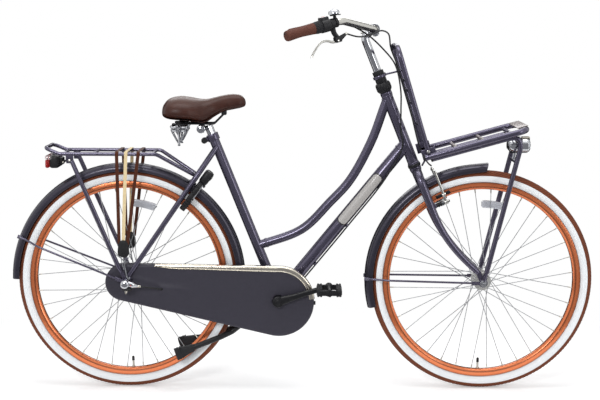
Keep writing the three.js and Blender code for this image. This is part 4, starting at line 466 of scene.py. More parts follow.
def frame_skins():
    """All the tubes and plates that are brazed into one frame."""
    foot, head = on_seat(182), on_head(240)
    swan = smooth_line(foot + points(SWAN_SHARES[:, 0], 0, SWAN_SHARES[:, 1]) * (head - foot))
    skins = [tube([CRANK_AXIS, on_seat(573)], 15.8, 32), tube([CRANK_AXIS, DOWN_TOP], 20.5, 36),
             tube(swan, 14.3, 28), tube([on_head(8), on_head(258)], 17.5, 36),
             tube([on_head(0.6), on_head(12)], 20, 36, 1.5), tube([on_head(247), on_head(258)], 19, 36, 1.5),
             disc(CRANK_AXIS, LEFT, 20, -34, 34, 1.5), rung(BRIDGE, 40, 6),
             slab([424, 0, 299.5], [50, 54, 5])]
    skins += [weld(*place) for place in (
        (on_head(14), HEAD_UP, 17.5), (on_head(245), HEAD_UP, 17.5), (DOWN_TOP - DOWN * 25, DOWN, 21.2),
        (CRANK_AXIS + DOWN * 22, DOWN, 21.2), (on_seat(22), SEAT_UP, 16.5),
        (swan[2], unit(swan[3] - swan[1]), 14.8), (swan[-5], unit(swan[-4] - swan[-6]), 14.8))]
    for side, _ in SIDES:
        stay, chain_stay = stay_lines(side)
        skins += [tube(stay, taper(stay, [0, 0.9, 1], [9, 9, 7.5]), 20),
                  tube(chain_stay, np.linspace(8.5, 6, len(chain_stay)), 18),
                  disc(REAR_AXLE, side * LEFT, 17, 58, 72, 1.0),
                  slab(STAY_FOOT + [-2, side * 66, -8], [20, 12, 26], edge=3),
                  disc(STAND_PIVOT, LEFT, 12, side * 12 - 3, side * 12 + 3),
                  slab([424, side * 12, 279], [24, 6, 38])]
    under = unit(np.cross(DOWN, LEFT))
    low = 21.5 * under * -np.sign(under[2])
    return skins + [slab(CRANK_AXIS + (DOWN_TOP - CRANK_AXIS) * share + low - 10 * LEFT, [12, 6, 5], DOWN,
                         under, 1.5)
                    for share in (0.25, 0.5, 0.75)]


piece("frame_tubes", frame_skins(), FRAME_PAINT, FRAME, "frame")

# The badge: an enamelled plate with a thin dark border, bonded to the right side of the down tube.
# It follows the tube's round surface.


def enamel(name, code, roughness, slot="black_plastic"):
    """Stoved gloss enamel: an even colour under a clear, slightly wavy glaze."""
    glaze = Finish(name, slot, Coat_Weight=0.6, Coat_Roughness=0.08)
    return glaze.mottled(code, code, 12, roughness, roughness + 0.08)


def tube_patch(start, end, radius, middle, spread, round_end, lift):
    """A patch of a tube's surface: along it by one number, round it by the other, with rounded ends."""
    line, length = unit(end - start), np.linalg.norm(end - start)
    out = unit(-LEFT * math.cos(middle) + np.cross(line, LEFT) * math.sin(middle))
    beside = np.cross(line, out)
    u = np.linspace(0, length, 61)
    past = np.maximum(0, np.abs(u - length / 2) - (length / 2 - round_end)) / round_end
    half_turn = spread * (0.35 + 0.65 * np.sqrt(np.clip(1 - past ** 2, 1e-3, 1)))
    turn = np.linspace(-1, 1, 17) * half_turn[:, None]
    round_it = np.cos(turn)[..., None] * out + np.sin(turn)[..., None] * beside
    wall = [start + u[:, None, None] * line + level * round_it for level in (radius + lift, radius - 0.6)]
    return skin(np.concatenate([wall[0], wall[1][:, ::-1]], 1))


badge_low, badge_high = (CRANK_AXIS + (DOWN_TOP - CRANK_AXIS) * share for share in (0.486, 0.803))
for name, inset, spread, round_end, lift, colour in (
        ("border", 0, 0.95, 16, 0.5, enamel("dark_badge_enamel", "#2b2830", 0.3, "frame_paint")),
        ("plate", 5, 0.8, 14, 0.9, enamel("pale_badge_enamel", "#aeaba8", 0.25, "frame_paint"))):
    patch = tube_patch(badge_low + DOWN * inset, badge_high - DOWN * inset, 20.5, 0.1, spread, round_end,
                       lift)
    piece("badge_" + name, [patch], colour, FRAME)

# The headset: pressed bearing cups in the head tube, with a moulded black turning-limiter above them.
# Its lower cap is fluted so that a hand can turn it, and its upper ring clamps the steerer.


def moulded_plastic(name, dark, light, low=0.38, high=0.55, grain=1.2, slot="black_plastic"):
    """Plastic from a sparked mould: dull, with a fine even texture that scatters the highlight."""
    plastic = Finish(name, slot, Specular_IOR_Level=0.3)
    return plastic.mottled(dark, light, 9, low, high,
                           plastic.add("TexNoise", {"Vector": plastic.place, "Scale": 1000 / grain,
                                                    "Detail": 3.0}), 0.08, 0.6)


BLACK_PLASTIC = moulded_plastic("black_moulded_plastic", "#151517", "#1f1f22")


def fluted(profile, centre, axis, flutes, depth, segments=96):
    """A lathe shape whose radius dips at each flute by a depth times the eighth power of a cosine."""
    spots, faces = turned(profile, centre, axis, segments)
    flat = spots - centre
    level = (flat @ unit(axis))[:, None] * unit(axis)
    scale = 1 - depth * np.cos(np.tile(around(segments), len(profile)) * flutes / 2) ** 8
    return centre + level + (flat - level) * scale[:, None], faces


cup = [[18.6, 1], [20.4, 2], [20.8, 4], [20.8, 9], [20, 11], [18.6, 12]]
piece("headset_lower_cup", [turned(cup, CROWN_RACE, HEAD_UP, 44, True)], BLACK_PLASTIC, FRAME)
piece("headset_cap", [
    fluted([[13.2, 258.4], [18, 258.4], [22.5, 264], [24.6, 269], [24.6, 284], [22.5, 289.5], [18, 292],
            [13.2, 292]], CROWN_RACE, HEAD_UP, 8, 0.1),
    turned([[13.2, 290], [17.6, 290], [18, 291], [18, 311], [17.2, 312], [17.2, 318], [18, 319], [18, 329],
            [17, 330.2], [13.2, 330.2]], CROWN_RACE, HEAD_UP, 48),
    disc(on_head(315, 17), HEAD_OUT, 3, 0, 5)], BLACK_PLASTIC, STEERED, "headset_upper")

# The fork: two tapered steel blades raked forward, brazed to a crown on the steerer, in the frame's paint.
# Studs in front of the blades carry the brake arms.


def blade_line(side):
    """One blade: out from the crown, down beside the tyre, then a parabola forward to its tip."""
    t = np.linspace(0, 1, 14)[:, None]
    rake = (1 - t) ** 2 * [148, 0] + 2 * t * (1 - t) * [267.5, 0] + t ** 2 * [387, 64.5]
    share = (rake[:, :1] - 30) / 357
    lower = on_head(0) - rake[:, :1] * HEAD_UP + rake[:, 1:] * HEAD_OUT + side * (46 + 11 * share) * LEFT
    shoulder = [on_head(-14, 0, side * 7), on_head(-20, 0, side * 28), on_head(-44, 0, side * 46), lower[0]]
    return np.vstack([smooth_line(shoulder, 6)[:-1], lower])


def fork_skins():
    """Crown, hollow steerer, blades, axle plates and brake studs."""
    skins = [turned([[11.4, -33], [16, -33], [16, -10], [19, -8.8], [19, -1], [18, 0], [12.7, 0], [12.7, 330],
                     [11.4, 330]], CROWN_RACE, HEAD_UP, 40, True),
             tube([on_head(-34.5), on_head(-30)], 15.5, 32, 1.5), weld(on_head(-12), HEAD_UP, 16.5, 4)]
    for side, _ in SIDES:
        line = blade_line(side)
        tip = line[-1] * [1, 0, 1]
        out = unit(FRONT_AXLE - tip)
        skins += [tube(line, taper(line, [0, 0.45, 1], [14, 14, 9]), 24, 1.5),
                  disc(FRONT_AXLE, side * LEFT, 11, 54, 59, 0.8),
                  slab((tip + FRONT_AXLE) / 2 + side * 56.5 * LEFT,
                       [np.linalg.norm(tip - FRONT_AXLE) + 9, 5, 17], out, unit(np.cross(out, LEFT)), 1.2),
                  disc(on_head(-135, 0, side * 46), HEAD_OUT, 8, 6, 18, 1.5)]
    return skins


piece("fork_blades", fork_skins(), FRAME_PAINT, STEERED, "fork")
piece("brake_stud_sleeves", [disc(on_head(-135, 0, side * 46), HEAD_OUT, *size) for side, _ in SIDES
                             for size in ((6.6, 17, 43, 1.5), (8.4, 24, 27, 0.6), (8.4, 32, 35, 0.6),
                                          (4, 40, 63, 0.8))], BLACK_PLASTIC, STEERED)

# The stem and handlebar: a long chromed quill stem with a bright tube bar, swept back to the rider.
# The bar is clamped at its thicker middle by one bolt under the stem.


def chromium_plate(name, code, low=0.1, high=0.2, slot="chrome", metal=1.0):
    """Plated or polished metal: a mirror, barely clouded by polishing marks along the part."""
    plate = Finish(name, slot, Metallic=metal)
    return plate.mottled(code, code, 26, low, high,
                         plate.add("TexNoise", {"Vector": plate.place, "Scale": 420.0, "Detail": 3.0}), 0.01,
                         0.2)


CHROME = chromium_plate("polished_chrome", "#c4c6ca")
SATIN_ALLOY = chromium_plate("satin_alloy", "#c6c5bf", 0.2, 0.28, "alloy")
BAR_CLAMP = on_head(457, 38)


def bar_end(side):
    """The outer end of the handlebar."""
    return BAR_CLAMP + [-272, side * 300, -19]


def bar_corner(side):
    """The bend of the handlebar, where it turns back to the grip."""
    return BAR_CLAMP + [-106, side * 202, 27]


GRIP_LINE = {side: unit(bar_corner(side) - bar_end(side)) for side, _ in SIDES}


def over_grip(side):
    """The direction square to a grip that lies nearest to straight up."""
    line = GRIP_LINE[side]
    return unit(np.array([0, 0, 1.0]) - line[2] * line)


GRIP_ON, GRIP_UP = GRIP_LINE[-1], over_grip(-1)
GRIP_SIDE = unit(np.cross(GRIP_ON, GRIP_UP))


def on_grip(distance, up=0.0, beside=0.0):
    """A place along the right grip from the bar's end, above it and beside it."""
    return bar_end(-1) + distance * GRIP_ON + up * GRIP_UP + beside * GRIP_SIDE


clamp_bolt = BAR_CLAMP - HEAD_UP * 17
elbow = bend([on_head(331), on_head(448), BAR_CLAMP], 24, 12)
sleeve = [[12.9, -19], [17.2, -19], [18, -18.2], [18, 18.2], [17.2, 19], [12.9, 19]]
piece("quill_stem", [tube(elbow, 12.7, 36), tube([on_head(272), on_head(331)], 11, 32),
                     turned(sleeve, BAR_CLAMP, LEFT, 44, True),
                     slab(clamp_bolt, [13, 26, 12], HEAD_OUT, HEAD_UP, 2)],
      CHROME, STEERED, "stem")
piece("stem_bolt", [disc(clamp_bolt, HEAD_OUT, 4.2, -10, 10, 1, 24),
                    disc(on_head(448), HEAD_UP, 6, 10, 15, 1.5, 24)],
      SATIN_ALLOY, STEERED)
bar_line = bend([bar_end(-1), bar_corner(-1), BAR_CLAMP - 30 * LEFT, BAR_CLAMP + 30 * LEFT, bar_corner(1),
                 bar_end(1)], 66, 14)
bar_swell = np.clip(1.6 - np.maximum(0, np.abs(bar_line[:, 1]) - 26) * 0.06, 0, 1.5)
piece("swept_handlebar", [tube(bar_line, 11.1 + bar_swell, 28), disc(BAR_CLAMP, LEFT, 12.6, -21, 21)],
      SATIN_ALLOY, STEERED, "handlebar")

# The grips: brown stitched imitation leather over rubber, slimmer at the middle, flanged at the inner end.
# The right one is short, because the twist shifter takes the rest of its length.


def grained_leather(name, slot, cell, cloud, tones, gloss, depth, upward_tone=None):
    """Embossed imitation leather: a fine grain, darker in patches, and, with a given tone, lighter on the
    faces that point up.
    """
    hide = Finish(name, slot, Specular_IOR_Level=0.3)
    grain = hide.add("TexVoronoi", {"Vector": hide.place, "Scale": cell}, feature="DISTANCE_TO_EDGE")
    tone = hide.add("MixRGB", (hide.add("TexNoise", {"Vector": hide.place, **cloud}), *tones))
    # Faces are mixed toward the given lighter tone the more they point up.
    if upward_tone:
        rise = add(hide.tree, "NewGeometry").node.outputs["Normal"]
        level = hide.add("SeparateXYZ", {"Vector": rise}, output=2)
        tone = hide.add("MixRGB", (hide.add("MapRange", (level, 0.55, 1.0, 0.0, 0.2)), tone, upward_tone))
    return hide.done(tone, hide.add("MapRange", (grain, 0.0, *gloss)), grain, *depth)


GRIP_LEATHER = grained_leather("brown_grip_leather", "grip", 420.0, {"Scale": 55.0, "Detail": 5.0},
                               ("#4a271e", "#653a2d"),
                               (0.4, 0.8, 0.55), (0.25, 0.7))


def grip_skin(side, length):
    """A grip: it dips between the ends, with two crossing waves of pressed line and a flange inside."""
    u = np.linspace(-1.6, length, 90)[:, None]
    share = (u + 2) / (length + 2)
    radius = 16.4 - 2.0 * np.sin(np.pi * share) ** 2 - 2.2 * np.exp(-((u + 2) / 3.5) ** 2)
    turn = around(72)
    wave = np.abs(np.sin(turn) - 0.9 * np.cos(2 * np.pi * share))
    pressed = np.exp(-(wave / 0.09) ** 2) * ((share > 0.06) & (share < 0.93))
    reach = np.where(share > 0.96, 17, radius) - 0.7 * pressed
    axis, first = GRIP_LINE[side], over_grip(side)
    wheel = rays(turn) @ np.stack([first, np.cross(axis, first)])
    rings = u[..., None] * axis + reach[..., None] * wheel
    bore = np.array([length, 6.0])[:, None, None] * axis + 11.5 * wheel
    return skin(bar_end(side) + np.concatenate([rings, bore]))


for (side, name), length in zip(SIDES, (95, 128)):
    piece(name + "_grip", [grip_skin(side, length)], GRIP_LEATHER, STEERED, "grip_" + name)

# The gear shifter: a ribbed rubber sleeve that twists, and a black housing with a window and a red pointer.
# The housing clamps round the bar and the cable leaves it toward the stem.


def on_bar(*steps, segments=40):
    """A collar about the right grip: each step is a distance from the bar's end and a radius."""
    profile = [[11.5, steps[0][0]]] + [[radius, place] for place, radius in steps] + [[11.5, steps[-1][0]]]
    return turned(profile, bar_end(-1), GRIP_ON, segments, True)


def grip_slab(distance, up, beside, size, edge=0.5):
    """A block that lies along the right grip."""
    return slab(on_grip(distance, up, beside), size, GRIP_ON, GRIP_UP, edge)


ribs = [[11.5, 95.4], [16.6, 95.4], [17.2, 97], [18.8, 106], [18.9, 118.5], [18.4, 120.2], [11.5, 120.2]]
piece("twist_sleeve_rubber", [fluted(ribs, bar_end(-1), GRIP_ON, 22, 0.055, 132)],
      moulded_plastic("black_rubber", "#1a1a1c", "#242427", 0.6, 0.8), "twist_sleeve", "shifter_twist")
piece("shifter_shell", [on_bar([120.6, 19.5], [121.6, 20.8], [147, 20.8], [148.6, 19.2], segments=56),
                        grip_slab(134.6, 18.5, 0, [27, 24, 15], 4),
                        tube([on_grip(142, 2, -19), on_grip(156, 2, -21)], [6, 4], 18, 1)],
      BLACK_PLASTIC, STEERED, "shifter_housing")
piece("shifter_window", [grip_slab(133.5, 25.9, 0, [19, 15, 1.4], 0.6)],
      enamel("smoked_window", "#3c3d42", 0.15, "clear_plastic"), STEERED)
piece("shifter_pointer",
      [grip_slab(133.5, 26.5, 0, [12, 2.6, 1.2]), grip_slab(134, 17, -11.8, [9, 1.2, 3.2])],
      enamel("red_pointer", "#d2452d", 0.35), STEERED)

# The front brake lever: a black forged bracket on the bar with a polished two-finger blade on a pin.
# A barrel adjuster at its nose takes the cable.
LEVER_PIVOT = on_grip(168, -54)
BRACKET_NOSE = LEVER_PIVOT + 32 * GRIP_ON + 12 * GRIP_UP
NOSE_AIM = unit(BRACKET_NOSE - LEVER_PIVOT)


def in_lever(back, up):
    """A place from the lever's pin, back along the grip and above it."""
    return LEVER_PIVOT - back * GRIP_ON + up * GRIP_UP


neck = smooth_line([on_grip(160, -12.5), on_grip(162, -30), in_lever(-3, 8)], 8)
piece("brake_lever_bracket", [on_bar([152, 14.2], [153, 15], [167, 15], [168, 14.2]),
                              tube(neck, np.linspace(8.6, 7, len(neck)), 18, 2),
                              tube([in_lever(-8, 3), BRACKET_NOSE], [8.2, 5], 18, 2)]
      + [grip_slab(170, -51, side * 6.1, [22, 4.2, 17], 2) for side, _ in SIDES],
      BLACK_PLASTIC, STEERED, "brake_bracket")
adjuster = [[0, 0], [4.4, 0], [4.8, 1], [4.8, 6], [3, 7], [3, 10], [0, 10]]
piece("lever_fittings", [disc(LEVER_PIVOT, GRIP_SIDE, 3.6, -9, 9, 0.8, 24),
                         fluted(adjuster, BRACKET_NOSE - 2 * NOSE_AIM, NOSE_AIM, 10, 0.08)],
      SATIN_ALLOY, STEERED)
blade = smooth_line([in_lever(-4, -1), in_lever(16, -1), in_lever(38, 8), in_lever(58, 7), in_lever(80, -8),
                     in_lever(96, -24), in_lever(99, -30)], 8)
width = taper(blade, [0, 0.2, 0.6, 0.92, 1], [2.6, 2.7, 4.4, 3.6, 4.2])[:, None]
oval = rays(around(20)) * np.stack([width, np.interp(width, [2.6, 4.4], [4.2, 2.6])], -1)
piece("brake_lever_blade", [carried(oval, blade, GRIP_UP), disc(LEVER_PIVOT, GRIP_SIDE, 6.5, -2.9, 2.9, 0.8)],
      SATIN_ALLOY, "front_brake_lever", "brake_lever")

# The bell: a spun chromed dome on a black plastic base that straps round the bar, with a thumb lever.
# The lever turns a striker under the dome.
BELL_SEAT = on_grip(174.5)
outer = rays(np.linspace(0, np.pi / 2, 12)) ** [0.8, 1] * [17, 14.6] + [0, 27.4]
dome = np.vstack([[[15.4, 27.4]], outer[:-1], [[2.6, 42], [2.6, 40.8]],
                  (outer[:-1] * [0.9, 1] - [0, 1.3])[::-1][:-1]])
piece("bell_shell", [turned(dome, BELL_SEAT, GRIP_UP, 48, True),
                     disc(BELL_SEAT, GRIP_UP, 3.6, 40.8, 42, 0.5, 24)],
      CHROME, STEERED, "bell_dome")
piece("bell_base_strap", [on_bar([170.6, 14.2], [171.4, 15], [177.6, 15], [178.4, 14.2]),
                          tube([on_grip(174.5, 13), on_grip(174.5, 27)], [5.2, 4.2], 20),
                          disc(BELL_SEAT, GRIP_UP, 14, 22, 27, 1.2),
                          disc(BELL_SEAT, GRIP_UP, 2.2, 26, 42, 0.4, 16)],
      BLACK_PLASTIC, STEERED, "bell_base")
thumb = on_grip(174.5, 24.5, 16.5)
thumb_line = smooth_line([thumb, thumb + 9 * GRIP_SIDE - GRIP_UP * 0.4, thumb + 18 * GRIP_SIDE], 6)
piece("bell_thumb_lever_arm", [carried(rays(np.linspace(0, 6, 16)) * [2.2, 1.6], thumb_line, GRIP_UP)],
      BLACK_PLASTIC, "bell_thumb_lever", "bell_lever")

# The control cables: black lined housings, one to the hub gear and one to the front brake.
# Both hang in slack bows by the stem, so that the bars can turn, and end in the parts that they work.


def cable_vinyl():
    """Extruded vinyl over coiled wire: satin black, faintly rippled by the coils beneath."""
    vinyl = Finish("black_cable_vinyl", "black_plastic", Specular_IOR_Level=0.4)
    return vinyl.mottled("#121214", "#1d1d20", 6, 0.32, 0.45,
                         vinyl.add("TexNoise", {"Vector": vinyl.place, "Scale": 600.0}), 0.05, 0.4)


def under_down(share, side):
    """A place under the down tube, a share of the way from the head tube to the crank axis."""
    return DOWN_TOP + (CRANK_AXIS - DOWN_TOP) * share + np.cross(-DOWN, LEFT) * 24 + side * LEFT


def under_stay(share, down):
    """A place under the right chain stay, a share of the way from the tyre to the axle plate."""
    along = 1 - TYRE_SHARE + share * (TYRE_SHARE - 34 / 486)
    return (CRANK_AXIS + (REAR_AXLE - CRANK_AXIS) * along - (36 + 22 * share) * LEFT
            - np.array([0, 0, 11 + down]))


DECK_FOOT = np.array([945.0, 0, 767.0])
DECK_ALONG, DECK_UP, BACK_UP = heading(15.5), heading(105.5), heading(107)
BACK_FOOT = DECK_FOOT + 14 * DECK_ALONG + 10.3 * DECK_UP


def on_back(distance, side=0.0, behind=0.0):
    """A place on the front carrier's upright back, with a distance to the rider's side of it."""
    return BACK_FOOT + distance * BACK_UP + side * LEFT + behind * np.cross(BACK_UP, LEFT)


CABLE_VINYL = cable_vinyl()
shift_route = smooth_line([
    on_grip(151.4, 0, -18), on_grip(191.4, 0, -25), BAR_CLAMP + [-30, -75, -12], BAR_CLAMP + [28, -42, -62],
    on_head(330, 58, -36), on_head(250, 46, -30), on_head(190, 24, -26), on_head(130, 0, -27),
    on_head(80, -14, -27), under_down(0.2, -22) + [0, 0, 10.25], under_down(0.5, -10), under_down(0.84, -10),
    [490, -22, 268], [440, -30, 275.5], under_stay(0, 1), under_stay(0.45, 2), under_stay(0.74, 4),
    [112, -72, 336], [64, -89, 346], [46, -92, 349]], 6)
brake_route = smooth_line([
    BRACKET_NOSE + 2.8 * NOSE_AIM, BAR_CLAMP + [-52, -128, -22], BAR_CLAMP + [-14, -74, -17],
    BAR_CLAMP + [22, -44, -4], BAR_CLAMP + [44, -32, -14], on_back(345, -27, 16.5), on_back(280, -24, 11.5),
    on_back(150, -24, 11.5), on_back(20, -22, 16.5), on_head(22, 38, -14), on_head(-4, 44, -4),
    on_head(-18, 51, 14)], 6)
for name, route, body, node in (("shift_cable_housing", shift_route, None, "shift_cable"),
                                ("brake_cable_housing", brake_route, STEERED, "front_brake_cable")):
    cable = piece(name, [tube(route, 2.5, 12)], CABLE_VINYL, body, node)
    if not body:
        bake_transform(cable)

# The wheels: copper-coloured double-wall rims on 36 laced steel spokes, a small front hub and a gear hub.
# Each tyre is brown rubber with a broad white side, as on an old roadster.
HUB_ALLOY = chromium_plate("cast_hub_alloy", "#c2c2be", 0.35, 0.45, "alloy", 0.5)
SPOKE_STEEL = chromium_plate("stainless_wire", "#a2a4a7", 0.3, 0.4, "zinc_steel", 0.5)
BRASS = chromium_plate("nickelled_brass", "#c4c0b6", 0.25, 0.4, "zinc_steel")


def powered(wave, exponent):
    """A wave made squarer or sharper by a power that keeps its sign."""
    return np.sign(wave) * np.abs(wave) ** exponent


SPOKE_COUNT = 36
# Painted shade on the rim: a share of the way from radius 296 out to 320, and how much of the copper's colour
# is left there.
RIM_SHADE_STOPS = ((0.0, 0.45), (0.08, 1.0), (0.26, 0.8), (0.34, 0.3), (0.42, 0.36), (0.48, 0.9), (0.66, 1.0),
             (0.88, 0.72), (0.97, 0.3))


def copper_anodised(name, axle):
    """Anodised copper-coloured alloy: bright, with fine lines round the rim and rings of painted shade,
    darkest at the step below the brake track, at the lip beside the tyre and at the well's inner edge.
    """
    copper = Finish(name, "copper_rim", Metallic=0.7, Coat_Weight=0.3, Coat_Roughness=0.15)
    out, _ = copper.about_axle(axle)
    lines = copper.wave(out, 3.2)
    # The copper is darkened ring by ring as painted shade, most in the groove below the brake track and at
    # the lip beside the tyre.
    painted_shade_rings = copper.add("ValToRGB", {"Fac": copper.add("MapRange", (out, 296, 320, 0.0, 1.0))})
    stops = painted_shade_rings.node.color_ramp.elements
    while len(stops) < len(RIM_SHADE_STOPS):
        stops.new(0.5)
    for stop, (share, level) in zip(stops, RIM_SHADE_STOPS):
        stop.position, stop.color = share, (level, level, level, 1)
    cloud = copper.add("TexNoise", {"Vector": copper.place, "Scale": 18.0})
    tone = copper.add("MixRGB", (cloud, "#ec7f4c", "#f08c5a"))
    return copper.done(copper.add("MixRGB", (1.0, tone, painted_shade_rings), blend_type="MULTIPLY"),
                       copper.add("MapRange", (lines, -1.0, 1.0, 0.16, 0.24)),
                       lines, 0.03, 0.5)


def whitewall_rubber(name, axle):
    """Vulcanised rubber: brown, darkened in slanting stripes as painted shade of the tread grooves, and a
    white band let into each side.
    """
    rubber = Finish(name, "tyre", Specular_IOR_Level=0.3)
    out, turn = rubber.about_axle(axle)
    cloud = rubber.add("TexNoise", {"Vector": rubber.place, "Scale": 45.0, "Detail": 5.0})
    spiral = rubber.add("Math", (out, 1.1, rubber.add("Math", (turn, 170.0), operation="MULTIPLY")),
                        operation="MULTIPLY_ADD")
    # Painted shade: the brown is darkened in slanting stripes where the tread grooves lie.
    painted_groove_shade = rubber.add("MapRange", (rubber.add("Math", (spiral,), operation="SINE"), -0.6, 0.2, 0.5, 1.0))
    brown = rubber.add("MixRGB", (1.0, rubber.add("MixRGB", (cloud, "#6d3822", "#8b4a2c")), painted_groove_shade),
                       blend_type="MULTIPLY")
    band = rubber.add("Math", (rubber.add("MapRange", (out, 341.0, 341.8, 1.0, 0.0)),
                               rubber.add("MapRange", (out, 319.5, 320.5, 0.0, 1.0))), operation="MULTIPLY")
    relief = rubber.add("Math", (rubber.wave(out, 2.4), rubber.wave(turn, 720.0)), operation="ADD")
    white = rubber.add("MixRGB", (cloud, "#eef2f5", "#f6f9fb"))
    return rubber.done(rubber.add("MixRGB", (band, brown, white)),
                       rubber.add("MapRange", (cloud, 0.3, 0.7, 0.68, 0.82)), relief, 0.05, 0.4)


def prismatic_acrylic(name):
    """Clear moulded acrylic with a field of small prisms: grey-white, glittering, set in a smooth frame."""
    clear = Finish(name, "clear_plastic", IOR=1.49, Transmission_Weight=0.25, Coat_Weight=0.8,
                   Coat_Roughness=0.05)
    prisms = clear.add("TexVoronoi", {"Vector": clear.place, "Scale": 330.0, "Randomness": 0.15},
                       feature="F1")
    return clear.done(clear.add("MixRGB", (prisms, "#eceff4", "#a9abb6")),
                      clear.add("MapRange", (prisms, 0.0, 1.0, 0.12, 0.4)),
                      prisms, 0.6, 0.8)


def tyre_skin(axle):
    """A tyre: a round section about the axle, whose tread dips between blocks by a wave round and across."""
    section, turn = np.radians(np.linspace(-62, 242, 57)), around(720)[:, None]
    wide = 23.3 * np.cos(section)
    crown = np.clip((np.sin(section) - 0.62) / 0.38, 0, 1)
    blocks = np.sin(turn * 180 + wide * 0.35)
    centre = np.abs(np.abs(wide) - 4.6) < 1.2
    dip = crown ** 0.5 * (1.5 * np.clip(blocks, 0, 1) ** 0.5 * (np.abs(wide) > 5.8) + 1.4 * centre)
    bead = np.array([[-12.6, 319.4], [-12.6, 307], [12.6, 307], [12.6, 319.4]])
    return skin(axle + np.concatenate([swept(turn, 337.6 + 20.3 * np.sin(section) - dip, wide),
                                       swept(turn, bead[:, 1], bead[:, 0])], 1), True)


def mirrored(half, shared=0):
    """A profile and its mirror image across the wheel's middle, less the ends that they share."""
    return np.vstack([half, (np.array(half) * [1, -1])[::-1][shared:len(half) - shared]])


def spoke_skins(axle, hub):
    """All spokes and nipples: each leaves its flange along a crossing pair and runs straight to the rim."""
    count = np.arange(SPOKE_COUNT)
    side, lead = np.where(count % 2, 1, -1), np.where(count // 2 % 2, 1, -1)
    rim_turn = np.radians(hub["phase"] + 10.0 * count)
    foot = axle + swept(rim_turn + np.radians(54) * lead, hub["flange"] - 3.5,
                        side * (hub["side"] + 1.8 * lead))
    tip = axle + swept(rim_turn, 296.0, side * (2.2 + 1.2 * lead))
    spokes, nipples = [], []
    for a, b in zip(foot, tip):
        wire = [[0, 0], [1.7, 0.2], [1.7, 1.2], [1.15, 2.5], [1.15, 100], [1.1, 200],
                [1.15, np.linalg.norm(b - a)]]
        spokes.append(turned(wire, a, b - a, 8))
        nipples.append(turned([[0, 0], [1.6, 0.2], [1.9, 1.4], [1.9, 11], [2.4, 12], [2.4, 12.6], [0, 12.6]],
                              b - unit(b - a) * 12, b - a, 10))
    return spokes, nipples


def reflector_skins(axle, degrees):
    """A bowed oblong that lies between the spokes, and the raised field of prisms on it."""
    turn = np.radians(np.linspace(-8.9, 8.9, 26)) + math.radians(degrees)
    line = axle + swept(turn, 248)
    past = np.clip((np.abs(np.linspace(-1, 1, 26)) - 0.8) / 0.215, 0, 1)
    fade = np.sqrt(np.clip(1 - past ** 2, 0, 1))[:, None, None]
    fade = np.concatenate([fade ** 0.4, 0.35 + 0.65 * fade], -1)
    v = around(40)
    oblong = points(powered(np.sin(v), 0.5), powered(np.cos(v), 0.35)) * fade
    return [carried(oblong * [3.9, 12.2], line, heading(degrees)),
            carried((oblong * [4.5, 9.0])[3:-3], line[3:-3], heading(degrees))]


RIM_HALF = [[296.6, 0], [296.6, 5.5], [297.6, 8.6], [300.5, 11.4], [303.6, 13.4], [304.6, 13.9], [305, 14.4],
            [318.4, 14.5], [319, 14.2], [319.4, 13.6], [318.6, 13.1], [307, 13.1], [306, 12], [301.5, 8.5],
            [301, 0]]
HUBS = {"front": {"side": 31, "flange": 29, "shell": 18, "half": 52, "end": 11, "phase": 5, "reflector": 82,
                  "valve": -91, "axle": FRONT_AXLE, "nut": 59, "body": STEERED},
        "rear": {"side": 29, "flange": 40, "shell": 33, "half": 34, "end": 20, "phase": 8, "reflector": 78,
                 "valve": -88, "axle": REAR_AXLE, "nut": 72, "body": FRAME}}
for end, hub in HUBS.items():
    axle, body = hub["axle"], end + "_wheel"
    side, flange, shell, half, tip = (hub[key] for key in ("side", "flange", "shell", "half", "end"))
    barrel = [[5.6, half], [tip - 1.5, half], [tip, half - 1.5], [tip, side + 3], [flange - 6, side + 2.2],
              [flange - 0.8, side + 1.7], [flange, side + 0.9], [flange, side - 0.9],
              [flange - 0.8, side - 1.7],
              [shell + 4, side - 2.6], [shell, side - 7], [shell, 4], [shell + 0.9, 3.4], [shell + 0.9, 0]]
    spokes, nipples = spoke_skins(axle, hub)
    out, turn = heading(hub["reflector"]), hub["valve"]
    valve = axle + heading(turn) * 296
    clip = slab(axle + 248 * out, [13, 8.8, 12], np.cross(out, LEFT), out, 2)
    cap = [[0, 0], [4.1, 0.4], [4.3, 2], [4.1, 12], [3, 14.5], [0, 15]]
    piece(end + "_tyre_rubber", [tyre_skin(axle)], whitewall_rubber(end + "_whitewall_rubber", axle), body,
          end + "_tyre", sharp=55)
    piece(end + "_rim_extrusion", [turned(mirrored(RIM_HALF, 1), axle, LEFT, 240, True)],
          copper_anodised(end + "_copper_anodised", axle), body, end + "_rim")
    piece(end + "_hub_shell", [turned(mirrored(barrel), axle, LEFT, 64)], HUB_ALLOY, body, end + "_hub")
    piece(end + "_spokes", spokes, SPOKE_STEEL, body)
    piece(end + "_nipples", nipples, BRASS, body)
    piece(end + "_reflector_lens", reflector_skins(axle, hub["reflector"]),
          prismatic_acrylic(end + "_reflector_acrylic"), body, end + "_reflector")
    piece(end + "_reflector_clip", [clip], enamel(end + "_clip_plastic", "#cfcabf", 0.4, "clear_plastic"),
          body)
    piece(end + "_valve_stem", [disc(valve, axle - valve, 3.4, -3, 22, 0.4, 20),
                                disc(valve, axle - valve, 5.4, 1, 4, 0.5, 6)], BRASS, body)
    piece(end + "_valve_cap", [fluted(cap, valve + unit(axle - valve) * 21, axle - valve, 12, 0.1, 48)],
          BLACK_PLASTIC, body)

